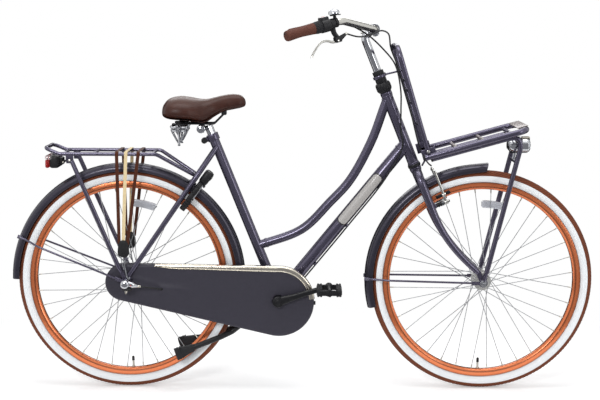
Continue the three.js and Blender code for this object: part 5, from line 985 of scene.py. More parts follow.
# The axles: threaded steel with chromed dome nuts, washers and, on the left, the gear hub's reaction arm.
# They are fast in the frame and the fork, and the wheels turn about them.
STEEL = chromium_plate("zinc_plated_steel", "#a3a5a9", 0.28, 0.4, "zinc_steel")
nut = [[5, 8], [9.4, 8], [9.6, 8.6], [9.6, 12], [8.6, 14], [5, 14.6]]
for end, hub in HUBS.items():
    axle, outer = hub["axle"], hub["nut"]
    skins = [disc(axle, LEFT, 4.9, -outer - 15, outer + 15, 0.8, 24)]
    for side, _ in SIDES:
        skins += [disc(axle, side * LEFT, 11.5, outer + 6.9, outer + 8.3, 0.4),
                  turned(nut, axle + side * outer * LEFT, side * LEFT, 6)]
    if end == "rear":
        arm = unit(CRANK_AXIS - axle)
        skins.append(slab(axle + arm * 72 + 40 * LEFT, [140, 2.8, 15], arm, np.cross(arm, LEFT), 1.2))
    piece(end + "_axle_nuts", skins, STEEL, hub["body"], end + "_axle")

# The mudguards: rolled steel with turned-in edges, powder coated darker than the frame.
# Each hangs from a strut and from two long wire stays, which bolt to its sides and to the axle.
GUARD_PAINT = powder_coat("graphite_powder_coat", "#34323c", "#3d3a47", 0.3, 0.4, "guard_paint")


def guard_skin(axle, start, end, tip):
    """A mudguard: a half round section with rolled rims, carried round the axle. `tip` flares its start."""
    turn = np.radians(np.linspace(start, end, 160))[:, None]
    u = np.radians(np.linspace(0, 180, 33))
    outer = points(28.4 * np.cos(u), 24.0 * np.sin(u) ** 0.62 + 0.9 * np.exp(-((u - np.pi / 2) / 0.16) ** 2))
    rolled = np.array([[0.7, 0.1], [1.1, -0.8], [0.4, -1.6], [-0.7, -1.6], [-1.5, -0.7]])
    inner = outer[::-1] * [0.955, 1] - [0, 1.25]
    wide, high = np.vstack([outer, rolled * [-1, 1] - [28.4, 0], inner[1:-1], (rolled + [28.4, 0])[::-1]]).T
    lift = np.clip(1 - (turn - turn[0]) / 0.14, 0, 1) ** 2 * tip
    return skin(axle + swept(turn - lift * high / 5400, 353.8 + high + lift, wide * (1 + lift * 0.012)))


up = unit(BRIDGE - REAR_AXLE)
GUARDS = {"front": (88.8, 194.2, 4, 179, on_head(-55.5), on_head(-34.5), on_head(-52), 30),
          "rear": (-2, 180, 0, 158.2, REAR_AXLE + up * 376, BRIDGE - up * 6.5, REAR_AXLE + up * 378.5, 26)}
eye = [[5.4, 3.8], [10.3, 3.8], [10.5, 5], [10.3, 6.4], [5.4, 6.4]]
for end, (first, last, tip, stay_at, low, high, plate, long) in GUARDS.items():
    axle, outer, body = (HUBS[end][key] for key in ("axle", "nut", "body"))
    strut = [tube([low, high], 5, 20, 0.8),
             slab(plate, [long, 22, 3], np.cross(high - low, LEFT), high - low, 1.2)]
    piece(end + "_mudguard_shell", [guard_skin(axle, first, last, tip)] + strut, GUARD_PAINT, body,
          end + "_mudguard")
    along, rise = heading(stay_at), heading(stay_at + 90)
    wires, bolts = [], []
    for side, _ in SIDES:
        wire = [axle + along * reach + side * wide * LEFT
                for reach, wide in ((9, outer + 5.1), (300, outer - 8), (352, 34.8), (380, 33.8))]
        wires += [tube(bend(wire, 30, 8), 3.3, 14),
                  slab(axle + along * 22 + side * (outer + 5.1) * LEFT, [30, 3, 12], along, rise, 1.2),
                  turned(eye, axle + side * outer * LEFT, side * LEFT, 32, True),
                  slab(axle + along * 372 + side * 32.6 * LEFT, [17, 3.4, 12], along, rise, 1.2)]
        bolts.append(disc(axle + along * 371 + side * 34.6 * LEFT, side * LEFT, 3.4, -1, 2.6, 0.6, 6))
    piece(end + "_mudguard_wire_stays", wires, FRAME_PAINT, body, end + "_mudguard_stay")
    piece(end + "_mudguard_bolts", bolts, STEEL, body)

# The front rim brake: two forged alloy arms on the fork's studs, with rubber blocks beside the rim.
# Each turns on its own stud, against a return spring round its boss.


def arm_skins(side, pivot, holder):
    """One brake arm: a flat forged bar leaning outward from the boss, its block holder and its nuts."""
    up = HEAD_UP * math.cos(math.radians(4)) + side * LEFT * math.sin(math.radians(4))
    line = smooth_line([pivot - up * 5, pivot + up * 22, pivot + up * 60 + HEAD_OUT * 0.6, pivot + up * 107],
                       8)
    wide = taper(line, [0, 0.25, 0.6, 1], [6, 5, 4.2, 3.8])
    flat = np.array([[1, 0.5], [0.7, 1], [-0.7, 1], [-1, 0.5], [-1, -0.5], [-0.7, -1], [0.7, -1], [1, -0.5]])
    discs = ((0, 7.6, -6, 6, 28), (0, 5, 5, 9, 6), (24, 6.2, -5, 5, 24), (24, 4.4, 4, 8.5, 6),
             (100, 3.6, -5.2, 5.6, 6))
    return [carried(flat * points(wide, 3.6)[:, None], line, HEAD_OUT),
            tube([holder + side * 5 * LEFT, pivot + up * 23], 3.6, 16, 0.8),
            turned([[3.2, -2.6], [4.6, -2.6], [4.6, 2.6], [3.2, 2.6]], pivot + up * 100,
                   np.cross(HEAD_OUT, up), 20, True)
            ] + [disc(pivot + up * height, HEAD_OUT, radius, start, stop, 1, sides)
                 for height, radius, start, stop, sides in discs]


for side, name in SIDES:
    body = name + "_brake_arm"
    pivot, holder = on_head(-135, 51, side * 46), on_head(-114, 51, side * 21.3)
    rise = unit(holder - FRONT_AXLE)
    front = unit(np.cross(LEFT, rise))
    blocks = [slab(holder, [49, 10.4, 10.6], front, rise, 2.2)]
    blocks += [slab(holder + front * place - side * 4.3 * LEFT, [1.6, 2.2, 11], front, rise, 0.4)
               for place in (-16, -8, 8, 16)]
    coils = [turned([[6.4, turn], [8.6, turn + 0.8], [8.6, turn + 1.6], [6.4, turn + 2.4]], pivot, HEAD_OUT,
                    28, True)
             for turn in (-9.6, -12.4, -15.2)]
    piece(name + "_brake_arm_forging", arm_skins(side, pivot, holder), SATIN_ALLOY, body,
          "front_brake_arm_" + name)
    piece(name + "_brake_block", blocks, BLACK_PLASTIC, body)
    piece(name + "_brake_spring", coils, STEEL, body)

# The front carrier: a bent tube deck and an upright back, welded and powder coated like the frame.
# It stands on the front axle by two long legs, so it turns with the fork, and carries the lamp.
SLAT_PAINT = powder_coat("warm_grey_powder_coat", "#7d7573", "#8b8482", 0.4, 0.5)


def on_deck(distance, side=0.0, up=0.0):
    """A place along the deck from its foot, to its side and above its rail."""
    return DECK_FOOT + distance * DECK_ALONG + side * LEFT + up * DECK_UP


def hoop(place, reach, radius, sides, edge):
    """A bent tube that runs out along one side, across and back along the other."""
    corners = [place(0, -118), place(reach, -118), place(reach, 118), place(0, 118)]
    return tube(bend(corners, 40, 12), radius, sides, edge)


deck = [hoop(on_deck, 329, 10, 24, 1.2), rung(on_deck(284, 0, -4), 117, 6), rung(on_deck(22, 0, -4), 117, 6),
        tube([on_deck(22, 0, -4), on_head(-5, 22.3)], 3, 14)]
deck += [disc(on_deck(10, side * 118), side * LEFT, 4, 9, 12.6, 0.8, 6) for side, _ in SIDES]
back = [hoop(on_back, 345, 8, 22, 1.0), tube([on_back(265), on_head(311, 21.3)], 3, 14),
        turned([[17.5, 306.5], [21.2, 306.5], [21.6, 307.2], [21.6, 314.8], [21.2, 315.5], [17.5, 315.5]],
               CROWN_RACE, HEAD_UP, 40, True)]
back += [rung(on_back(height), 117, 4.5) for height in (85, 157, 198, 232, 265)]
knee = on_deck(322, 0, -16)
shin = unit(knee - FRONT_AXLE)
ankle = FRONT_AXLE + 38 * shin
LAMP_BAR = knee + (ankle - knee) * 0.2
legs = [rung(on_deck(40, 0, -16), 69, 6), rung(LAMP_BAR, 70 - 2.7 * 0.2, 6)]
plates, bolts, plugs = [], [], []
for side, _ in SIDES:
    line = bend([on_deck(24, side * 70, -16), knee + side * 70 * LEFT, ankle + side * 67.3 * LEFT,
                 FRONT_AXLE + side * 63 * LEFT + [0, 0, 3]], 34, 12)
    legs += [tube(line, taper(line, [0, 0.86, 1], [8, 8, 5.5]), 20, 1),
             disc(FRONT_AXLE, side * LEFT, 14, 59.4, 62.3, 0.8, 32),
             slab(FRONT_AXLE + 14 * shin + side * 61 * LEFT, [30, 3.4, 15], shin, np.cross(shin, LEFT))]
    plates += [slab(on_deck(16, side * 106, 8), [34, 3.2, 46], BACK_UP, np.cross(BACK_UP, LEFT), 1.4),
               slab(on_deck(26, side * 106, -1), [46, 3.2, 18], DECK_ALONG, DECK_UP, 1.4)]
    bolts += [disc(on_deck(14, side * 118, 17), side * LEFT, 5.2, 7, 10.6, 1.2, 24),
              disc(on_deck(14, side * 118, 17), side * LEFT, 3, 10, 12, 0.5, 6)]
    plugs += [disc(on_deck(-5.6, side * 118), DECK_ALONG, 10.3, 0, 7, 2.4, 24),
              disc(on_deck(19, side * 70, -16), DECK_ALONG, 8.3, 0, 6, 2, 24)]
end_plate = slab(on_deck(320, 0, 10.8), [34, 190, 2.4], DECK_ALONG, DECK_UP)
for name, skins, colour, *node in (
        ("deck_tubes", deck, FRAME_PAINT, "front_carrier_deck"),
        ("back_tubes", back, FRAME_PAINT, "front_carrier_back"),
        ("leg_tubes", legs, FRAME_PAINT, "front_carrier_legs"),
        ("slats", [rung(on_deck(place, 0, -4), 117, 6) for place in (108, 196)], SLAT_PAINT),
        ("end_plate", [end_plate], SLAT_PAINT),
        ("corner_plates", plates, FRAME_PAINT), ("bolts", bolts, SATIN_ALLOY),
        ("tube_plugs", plugs, BLACK_PLASTIC)):
    piece("front_carrier_" + name, skins, colour, STEERED, *node)

# The headlight: a chromed round shell on a black base, with a clear moulded lens, on a bracket under the
# deck.
# No wire leads to it.


def clear_moulding(name, code, grooves=140.0):
    """Clear moulded acrylic with fine flutes inside, which break up what is behind it."""
    clear = Finish(name, "lamp", IOR=1.49, Transmission_Weight=0.8, Coat_Weight=0.5, Coat_Roughness=0.05)
    flutes = clear.add("TexWave", {"Vector": clear.place, "Scale": grooves}, bands_direction="Y")
    return clear.mottled(code, code, 9, 0.05, 0.12, flutes.node.outputs["Color"], 0.3, 0.4)


LAMP = on_deck(306, 0, -54)
AHEAD = np.array([1.0, 0, 0])
shell = [[0, -37], [9, -36.2], [16, -33.5], [20.5, -28], [23.4, -19], [24.6, -8], [24.8, 22], [24.2, 27],
         [23.2, 28], [22.4, 26.8], [22.2, 8], [0, 6]]
mirror = [[0, 6.4], [21.8, 6.4], [21.8, 20.6], [21.2, 21], [17, 14], [10, 9.6], [4, 8.4], [3.4, 15], [0, 16]]
glass = [[0, 22], [22.3, 22], [22.3, 28], [20.6, 32], [15, 35.4], [7, 37.2], [0, 37.6]]
piece("headlight_shell", [turned(shell, LAMP, AHEAD, 56), tube([LAMP + [-6, 0, 24], LAMP_BAR], 5, 18),
                          slab(LAMP + [-6, 0, 24.5], [22, 14, 6], edge=2)], CHROME, STEERED, "headlight")
piece("headlight_lens", [turned(glass, LAMP, AHEAD, 56)], clear_moulding("clear_lamp_lens", "#eef1f5"),
      STEERED)
piece("headlight_reflector", [turned(mirror, LAMP, AHEAD, 40)], CHROME, STEERED)
piece("headlight_hood", [slab(LAMP + [21, 0, 25.4], [25, 24, 5], edge=2)],
      enamel("pale_lamp_hood", "#bdb7a8", 0.3, "lamp"), STEERED)
piece("headlight_base",
      [slab(LAMP + [32, 0, 21.6], [4, 18, 9], edge=1.5), disc(LAMP, AHEAD, 12, -38, -34, 1.5, 32),
       slab(LAMP + [-8, 0, -20.6], [42, 22, 8], edge=3)], BLACK_PLASTIC, STEERED)

# The seat post: chromed steel, sliding in the seat tube, with the saddle clamp's two toothed discs on top.
# The clamp below it is a painted collar with a black plastic hand knob.
SADDLE_CLAMP = np.array([238.04, 0, 846.01])
CLAMP_BACK = heading(202)
collar = on_seat(562)
tooth_disc = [[0, 21], [10, 21], [13.2, 21.8], [13.4, 24], [12, 25.2], [8, 25.6], [7, 24.6], [0, 24.6]]
clamp_nut = [[6, 24], [6.6, 24], [6.4, 30.5], [4.4, 31.5], [0, 31.5], [0, 24]]
knob = [[0, -10.6], [8.4, -10.6], [9.8, -9.4], [10, -7.5], [10, 7.5], [9.8, 9.4], [8.4, 10.6], [0, 10.6]]
band = [[16.2, 551], [19, 551], [19.4, 552], [19.4, 571.6], [18.8, 573], [16.2, 573]]
piece("seat_post_tube", [tube([on_seat(454), on_seat(600), SADDLE_CLAMP - 5 * SEAT_UP], [13.5, 13.5, 11], 32),
                         disc(SADDLE_CLAMP, LEFT, 9.5, -25, 25, 1.5, 24)]
      + [turned(tooth_disc, SADDLE_CLAMP, side * LEFT, 44) for side, _ in SIDES]
      + [fluted(clamp_nut, SADDLE_CLAMP, side * LEFT, 6, 0.1, 48) for side, _ in SIDES], CHROME, "seat",
      "seatpost")
piece("seat_collar", [turned(band, CRANK_AXIS, SEAT_UP, 44, True),
                      tube([collar + CLAMP_BACK * 17, collar + CLAMP_BACK * 28], 8, 24, 1)], FRAME_PAINT,
      FRAME, "seat_clamp")
piece("seat_collar_knob", [fluted(knob, collar + CLAMP_BACK * 30, LEFT, 9, 0.09, 72)], BLACK_PLASTIC, FRAME)

# The saddle: a moulded foam pad stretched over with brown imitation leather, on a black plastic pan.
# Its back is broad and crowned, its sides draw in to a narrow nose, and its skirt turns under the pan.
SADDLE_START, SADDLE_LENGTH, SADDLE_HALF, SADDLE_HEIGHT = np.array([116.04, 0, 867.01]), 265.0, 105.0, 90.0
SADDLE_RINGS = np.array([
    [0, 0, 0.36, 0.36], [0.006, 0.42, 0.53, 0.25], [0.03, 0.74, 0.68, 0.18], [0.085, 0.93, 0.84, 0.12],
    [0.2, 1, 0.92, 0.08], [0.32, 0.96, 0.895, 0.05], [0.42, 0.82, 0.85, 0.005], [0.49, 0.67, 0.84, -0.018],
    [0.545, 0.56, 0.855, 0.04], [0.62, 0.43, 0.905, 0.2], [0.74, 0.33, 0.975, 0.39], [0.86, 0.285, 1, 0.47],
    [0.94, 0.235, 0.955, 0.52], [0.985, 0.15, 0.83, 0.57], [1, 0, 0.68, 0.68]])


def saddle_rings():
    """The pad's rings: ovals squared toward the corners, dished along the middle, drawn in at the skirt."""
    table = smooth_line(SADDLE_RINGS * [SADDLE_LENGTH, SADDLE_HALF, SADDLE_HEIGHT, SADDLE_HEIGHT], 9)
    x, wide, top, foot = table.T[..., None]
    across, rise = rays(around(112)).T
    upper = rise >= 0
    middle = foot + (top - foot) * 0.34
    bow = powered(across, np.where(upper, 0.82, 0.62)) * (1 - 0.1 * np.clip(-rise, 0, 1) ** 2)
    y = np.maximum(wide, 0) * bow
    z = np.where(upper, (top - middle) * np.abs(rise) ** 0.86, -(middle - foot) * np.abs(rise) ** 1.2)
    dish = 4.0 * np.exp(-(y / 24) ** 2) * np.exp(-((x / SADDLE_LENGTH - 0.45) / 0.26) ** 2) * upper
    return SADDLE_START + points(x, y, middle + z - dish)


# The saddle's upward faces are mixed toward a lighter brown, by how far they point up.
SADDLE_LEATHER = grained_leather("brown_saddle_leather", "brown_leather", 620.0,
                                 {"Scale": 28.0, "Detail": 6.0, "Roughness": 0.65},
                                 ("#2c120b", "#452115"), (0.35, 0.5, 0.3), (0.1, 0.45), "#57301f")
rings = saddle_rings()
pad = piece("saddle_pad", [skin(rings)], SADDLE_LEATHER, "seat", "saddle_cover", sharp=60)
pan = rings[16:-16] * [1, 0.86, 1]
pan[..., 2] = np.minimum(pan[..., 2], rings[16:-16, :, 2].min(1, keepdims=True) + 8) - 0.5
piece("saddle_pan", [skin(pan)], BLACK_PLASTIC, "seat")

# The saddle's rails: one black steel wire from the nose back to both springs, with a cross bar at each end.
# Flat plates over the springs carry the back of the pan.
RAIL_NOSE = SADDLE_CLAMP + [72, 0, 47.29]
SPRING_TOP = np.array([171.04, 0, 863.3])
rails = [rung(RAIL_NOSE, 12, 3.4), rung(SPRING_TOP, 48, 3.4),
         slab(RAIL_NOSE + [1, 0, 7], [16, 30, 20], edge=3)]
for side, _ in SIDES:
    seat = SPRING_TOP + side * 48 * LEFT
    line = [RAIL_NOSE + side * 10 * LEFT, [280.04, side * 20, 863.3], [202.04, side * 20, 863.3], seat]
    rails += [tube(bend(line, 14), 3.4, 16), slab(seat, [44, 21, 6.4], edge=2.4),
              slab(seat + [0, 0, 5], [15, 15, 8], edge=2)]
piece("saddle_rail_wires", rails, moulded_plastic("black_stoved_steel", "#17171a", "#222225", 0.28, 0.4),
      "seat", "saddle_rails")

# The saddle springs: chromed wire baskets. Two bands at the top carry six wires that meet at a tip.
# They give a little as the rider sits.
BASKET_BAND = np.array([[-4.4, 1.4], [-1.4, 0], [0, 1.4], [0, 5.8], [-1.4, 7.2], [-4.4, 5.8]])
BASKET_TIP = [[0, 50], [4.6, 50], [5, 51], [4.8, 55], [3.2, 56.5], [3.2, 60], [4.4, 61], [4.2, 63.8], [2, 65],
              [0, 65]]
DOWNWARD = np.array([0, 0, -1.0])
for side, name in SIDES:
    top = SPRING_TOP + [0, side * 48, -3.8]
    basket = [turned(BASKET_BAND + place, top, DOWNWARD, 56, True) for place in ([28.3, 0.4], [26.2, 12])]
    basket += [tube([top - reach - [0, 0, 2.6], top + reach - [0, 0, 2.6]], 2.4, 14)
               for reach in np.array([[26, 0, 0], [0, 26, 0]])]
    basket.append(turned(BASKET_TIP, top, DOWNWARD, 28))
    for turn in np.radians(np.arange(30, 360, 60)):
        wire = [top + [out * math.cos(turn), out * math.sin(turn), -low]
                for out, low in ((26, 2), (25, 16), (13.4, 38), (3.0, 55))]
        basket.append(tube(smooth_line(wire, 5), 2.4, 12))
    piece("saddle_spring_basket_" + name, basket, CHROME, "seat", "saddle_spring_" + name)

# The rear carrier: one bent tube with a raised hoop at the back, four bars and two legs to the axle.
# Its front ends are brazed to the bridge between the seat stays.
front_end = BRIDGE + unit(np.array([100, 0, 770]) - BRIDGE) * 11.8
rail_corners = [front_end - 26 * LEFT, [100, -68, 770], [-207, -68, 770], [-250, -68, 788]]
rail_corners += [np.array(corner) * [1, -1, 1] for corner in rail_corners[::-1]]
rack = [tube(bend(rail_corners, 30), 6.1, 20, 0.8), rung(front_end, 26, 5.8, 18)]
rack += [rung([x, 0, 770], 67, 4.5) for x in (-195, -100, 0, 88)]
rack_bolts = []
for side, _ in SIDES:
    low, high = np.array([-20, side * 78.8, 403]), np.array([-176, side * 68, 768])
    leg = unit(high - low)
    foot = (REAR_AXLE + low * [1, 0, 1]) / [2, 1, 2] + side * 73.8 * LEFT
    flat_leg = leg * [1, 0, 1]
    bolt = [-173.25, side * 68, 749]
    rack += [tube([low - leg * 12 + [1, -side * 4.4, 0], low + leg * 4, high - leg * 22], [5.4, 7, 7], 20, 1),
             turned([[5.4, 72.3], [11.4, 72.3], [11.7, 73], [11.7, 74.8], [11.4, 75.4], [5.4, 75.4]],
                    REAR_AXLE, side * LEFT, 36, True), slab(foot, [13, 3.2, 46], heading(24), flat_leg, 1.2),
             slab([-173.25, side * 68, 755], [23, 4, 30], edge=1.8),
             slab([-176, side * 71.5, 743], [15, 3, 22], heading(114), flat_leg, 1.4)]
    rack_bolts += [disc(bolt, side * LEFT, 5, 3, 6.5, 1.2, 24), disc(bolt, side * LEFT, 3, 6, 8, 0.5, 6)]
piece("rear_carrier_tubes", rack, FRAME_PAINT, FRAME, "rear_carrier")
piece("rear_carrier_bolts", rack_bolts, SATIN_ALLOY, FRAME)

# The luggage straps: three woven elastic bands, brown, cream and brown, stretched over the deck.
# On each side they are sewn into a black rubber end piece, whose wire hook catches the axle.
STRAP_RUBBER = moulded_plastic("black_strap_rubber", "#161617", "#232325", 0.5, 0.7)


def elastic_weave(name, dark, light):
    """Woven elastic webbing: lengthwise ribs of rubber thread with fine cross threads."""
    weave = Finish(name, "webbing", Specular_IOR_Level=0.2, Sheen_Weight=0.15, Sheen_Roughness=0.5)
    parts = weave.add("SeparateXYZ", {"Vector": weave.place}).node.outputs
    weft = weave.wave(weave.add("Math", (parts[1], parts[2]), operation="ADD"), 2600.0)
    both = weave.add("Math", (weave.wave(parts[0], 3500.0), weft), operation="MULTIPLY")
    return weave.mottled(dark, light, 14, 0.75, 0.9, both, 0.2, 0.6)


BROWN_ELASTIC = elastic_weave("brown_elastic", "#3f1d10", "#562c19")
CREAM_ELASTIC = elastic_weave("cream_elastic", "#dcc596", "#ecdab1")
half_band = np.array([[-0.5, -5.4], [0.5, -5.4], [1, -4.8], [1.15, 0], [1, 4.8]])
wrap_rays = rays(np.radians(np.linspace(0, 90, 8))) * 7.5
for name, top_x, low_x, cloth, *node in (("rear_strap", -24, -19, BROWN_ELASTIC),
                                         ("middle_strap", 5, -6, CREAM_ELASTIC, "luggage_straps"),
                                         ("front_strap", 44, 7, BROWN_ELASTIC)):
    wrap = points(top_x, -68 - wrap_rays[:, 0], 770 + wrap_rays[:, 1])
    low = np.array([low_x, -84, 484.0])
    half_line = np.vstack([low, low + (wrap[0] - low) * np.linspace(0.25, 0.97, 4)[:, None], wrap])
    line = np.vstack([half_line, (half_line * [1, -1, 1])[::-1]])
    piece("luggage_" + name, [carried(np.vstack([half_band, -half_band]), line, AHEAD)], cloth, FRAME, *node)


def end_piece(side):
    """A flat oval of rubber, thicker in the middle and a little narrower at the top."""
    u, v = np.sin(np.radians(np.linspace(-90, 90, 28)))[:, None], around(48)
    wide = 17.5 * (1 - u ** 4) ** 0.5 * (1 - 0.16 * u)
    thick = 4.6 * (1 - u ** 6) ** 0.5
    return skin(points(-6 + wide * np.cos(v), side * 84 + thick * powered(np.sin(v), 0.6), 469.5 + 28 * u))


hooks, eyes = [], []
for side, _ in SIDES:
    hook = [[-6, 84, 446], [-4, 84, 420], [1, 84, 395], [5, 83.6, 376], [11, 83, 371], [13, 83, 378]]
    latch = [[-14, 85.6, 449], [-11, 86, 425], [-4, 86, 402]]
    hooks += [tube(smooth_line(np.array(wire) * [1, side, 1], 6), radius, sides)
              for wire, radius, sides in ((hook, 2.0, 12), (latch, 1.4, 10))]
    eyes.append(turned([[6.2, 3.6], [8.4, 3.6], [8.4, 5.4], [6.2, 5.4]], [-6, side * 84, 458.0], side * LEFT,
                       32, True))
piece("strap_end_pieces", [end_piece(side) for side, _ in SIDES], STRAP_RUBBER, FRAME)
piece("strap_hooks", hooks, STEEL, FRAME)
piece("strap_end_rings", eyes, STRAP_RUBBER, FRAME)

# The tail light: a black moulded housing under the carrier's back bar, with a red lens below a clear band.
# A bent bracket and a brass-coloured nut hold it.
nut_place = [-206, 0, 737]
housing = [slab([x, 0, z], size, edge=edge) for x, z, size, edge in (
    (-230, 741, [30, 80, 41], 8), (-206, 741, [26, 24, 4], 1), (-195, 756, [4, 24, 30], 1),
    (-212, 741, [14, 40, 24], 4))]
for name, skins, colour, *node in (
        ("housing", housing, BLACK_PLASTIC, "tail_light"),
        ("lens", [slab([-251.5, 0, 735], [13, 83.6, 28], edge=6)],
         clear_moulding("red_lens", "#c3201d", 160.0)),
        ("band", [slab([-246.5, 0, 754.2], [23, 83.6, 15], edge=6)],
         clear_moulding("clear_lens_band", "#f1e9ea", 160.0)),
        ("reflector", [slab([-246, 0, 741], [6, 70, 30], edge=2)],
         enamel("red_backing", "#b32622", 0.4, "lamp")),
        ("nut", [disc(nut_place, LEFT, 4.4, -15, 15, 0.6, 6), disc(nut_place, LEFT, 2.6, -19, 19, 0.6, 16)],
         BRASS)):
    piece("tail_light_" + name, skins, colour, FRAME, *node)

# The frame lock: a black plastic horseshoe on the seat stays, with the lock barrel in its deep head.
# A hardened ring shackle runs round inside it and closes behind the tyre between the spokes.
LOCK_OUT, LOCK_NORMAL = heading(53), heading(-37)
LOCK_CENTRE = REAR_AXLE + 340 * LOCK_OUT


def on_lock(radius, degrees, depth=0.0):
    """A place about the ring's centre: a radius, a turn from the head to the left, and a depth forward."""
    turn = np.radians(degrees)
    return (LOCK_CENTRE + np.multiply.outer(radius * np.sin(turn), LEFT)
            + np.multiply.outer(radius * np.cos(turn), LOCK_OUT) + depth * LOCK_NORMAL)


def lock_slab(radius, degrees, depth, size, edge):
    """A block that lies square to the ring's plane."""
    return slab(on_lock(radius, degrees, depth), size, LOCK_OUT, LOCK_NORMAL, edge)


def lock_arc(radius, start, end, half_wide, low, high, edge, steps=48):
    """A band of the horseshoe: a rounded oblong section carried round an arc."""
    fillet = np.radians(np.linspace(0, 90, 5))
    reach = [half_wide - edge, (high - low) / 2 - edge]
    section = np.vstack([rays(fillet + quarter * np.pi / 2) * edge + np.array(corner) * reach
                         for quarter, corner in enumerate(([1, 1], [-1, 1], [-1, -1], [1, -1]))])
    arc = on_lock(radius, np.linspace(start, end, steps))
    return carried(section + [0, (high + low) / 2], arc, LOCK_NORMAL)


lock_skins = [lock_arc(56, -138, 138, 9.8, -8, 11, 4.5), lock_slab(76, 0, 3, [46, 66, 29], 10),
              lock_slab(84, 0, 14, [26, 46, 8], 3.6)]
for side, _ in SIDES:
    lock_skins += [disc(on_lock(56, side * 134, 1.5), LOCK_NORMAL, 11, -9.5, 9.5, 3, 32),
                   lock_slab(64, side * 62, 1, [26, 24, 14], 4)]
    lock_skins += [lock_slab(66.4, side * turn, 3, [5, 3, 20], 1) for turn in (88, 96, 104, 112, 120)]
piece("lock_shell", lock_skins, BLACK_PLASTIC, FRAME, "lock_body")
piece("lock_side_bars",
      [lock_arc(65.4, side * 66 - 30, side * 66 + 30, 1.2, 8, 11.6, 0.6, 24) for side, _ in SIDES],
      moulded_plastic("grey_lock_cover", "#808185", "#8a8b8f", 0.3, 0.4), FRAME)
piece("lock_barrel", [disc(on_lock(84, 0, 16), LOCK_NORMAL, 9, 0, 3.4, 0.8, 36),
                      lock_slab(84, 0, 19.6, [9, 1.8, 1.2], 0.4)], SATIN_ALLOY, FRAME)
piece("lock_ring_shackle", [tube(on_lock(53, np.linspace(-137, -10, 40)), 4, 18, 1.2)], STEEL, "shackle",
      "lock_shackle")
piece("lock_knob", [tube([on_lock(53, -18, 3.5), on_lock(53, -18, 15)], 3.4, 16),
                    tube([on_lock(53, -18, 13), on_lock(53, -18, 18)], 4.8, 24, 2)], BLACK_PLASTIC, "shackle")

# The chaincase: two vacuum formed shells of matt violet-grey plastic that meet at a seam round the chain.
# The outer one has a hole for the crank and one for the axle, and swells where the gear cable leaves it.
CASE_PLASTIC = moulded_plastic("violet_grey_case_plastic", "#34323c", "#3a3843", 0.42, 0.52, 1.6,
                               "guard_paint")
CASE_FRONT, CASE_REAR = np.array([488.0, 295.0]), np.array([-9.0, 356.0])
CASE_WALL = 1.5


def belt_arcs(front, front_radius, rear, rear_radius, front_steps, rear_steps):
    """The two arcs of a belt round two wheels, in the bicycle's plane. Its straight runs join their ends."""
    gap = front - rear
    base, tilt = math.atan2(gap[1], gap[0]), math.acos((rear_radius - front_radius) / np.linalg.norm(gap))
    return [front + front_radius * rays(np.linspace(base - tilt, base + tilt, front_steps)),
            rear + rear_radius * rays(np.linspace(base + tilt, base + 2 * np.pi - tilt, rear_steps))]


def case_outline(inset):
    """Round the case in the bicycle's plane: arcs of 113 and 60 about its ends, and their tangents."""
    front, rear = belt_arcs(CASE_FRONT, 113 - inset, CASE_REAR, 60 - inset, 72, 48)
    run = np.linspace(0, 1, 40, endpoint=False)[1:, None]
    return np.vstack([front, front[-1] + run * (rear[0] - front[-1]), rear,
                      rear[-1] + run * (front[0] - rear[-1])])


def swelling(x, z):
    """How far the outer shell stands out: two ridges that fade forward, and a low dome round the hub."""
    ridge = 3.4 * np.exp(-((z - 338 + 0.05 * (x - 112)) / 10) ** 2) * np.clip((x - 96) / 16, 0, 1)
    crease = 2.2 * np.exp(-((z - 372 + 0.28 * (x - 20)) / 8) ** 2) * np.clip((x - 18) / 22, 0, 1)
    dome = 1.2 * np.exp(-(np.hypot(x, z - 358) / 62) ** 6)
    return (ridge * np.exp(-(np.maximum(0, x - 130) / 70) ** 2)
            + crease * np.exp(-(np.maximum(0, x - 60) / 55) ** 2) + dome)


def case_face(edge, holes):
    """The face as a flat mesh of triangles: a grid of spots inside the edge, cut by round holes."""
    def beyond(spots, share, margin):
        """Whether each spot lies outside of every hole."""
        return np.all([np.linalg.norm(spots - centre, axis=1) > radius * share + margin
                       for centre, radius in holes], 0)

    circles = [np.array(centre) + radius * rays(around(56)) for centre, radius in holes]
    grid = np.stack(np.meshgrid(np.arange(-70, 604, 7.0), np.arange(180, 420, 7.0)), -1).reshape(-1, 2)
    ahead, back = np.roll(edge, -1, 0) - edge, grid[:, None] - edge
    reach_in = ahead[:, 0] * back[..., 1] - ahead[:, 1] * back[..., 0]
    inside = (reach_in > 3.0 * np.linalg.norm(ahead, axis=1)).all(1)
    flat = np.vstack([edge, *circles, grid[inside & beyond(grid, 1, 2.5)]])
    loops, start = [], 0
    for loop in (edge, *circles):
        loops += [(start + i, start + (i + 1) % len(loop)) for i in range(len(loop))]
        start += len(loop)
    spots, _, cells, *_ = delaunay_2d_cdt([Vector(spot) for spot in flat.tolist()], loops, [], 0, 1e-4)
    spots, cells = np.array([tuple(spot) for spot in spots]), np.array(cells)
    return circles, spots, cells[beyond(spots[cells].mean(1), 0.99, 0)].tolist()


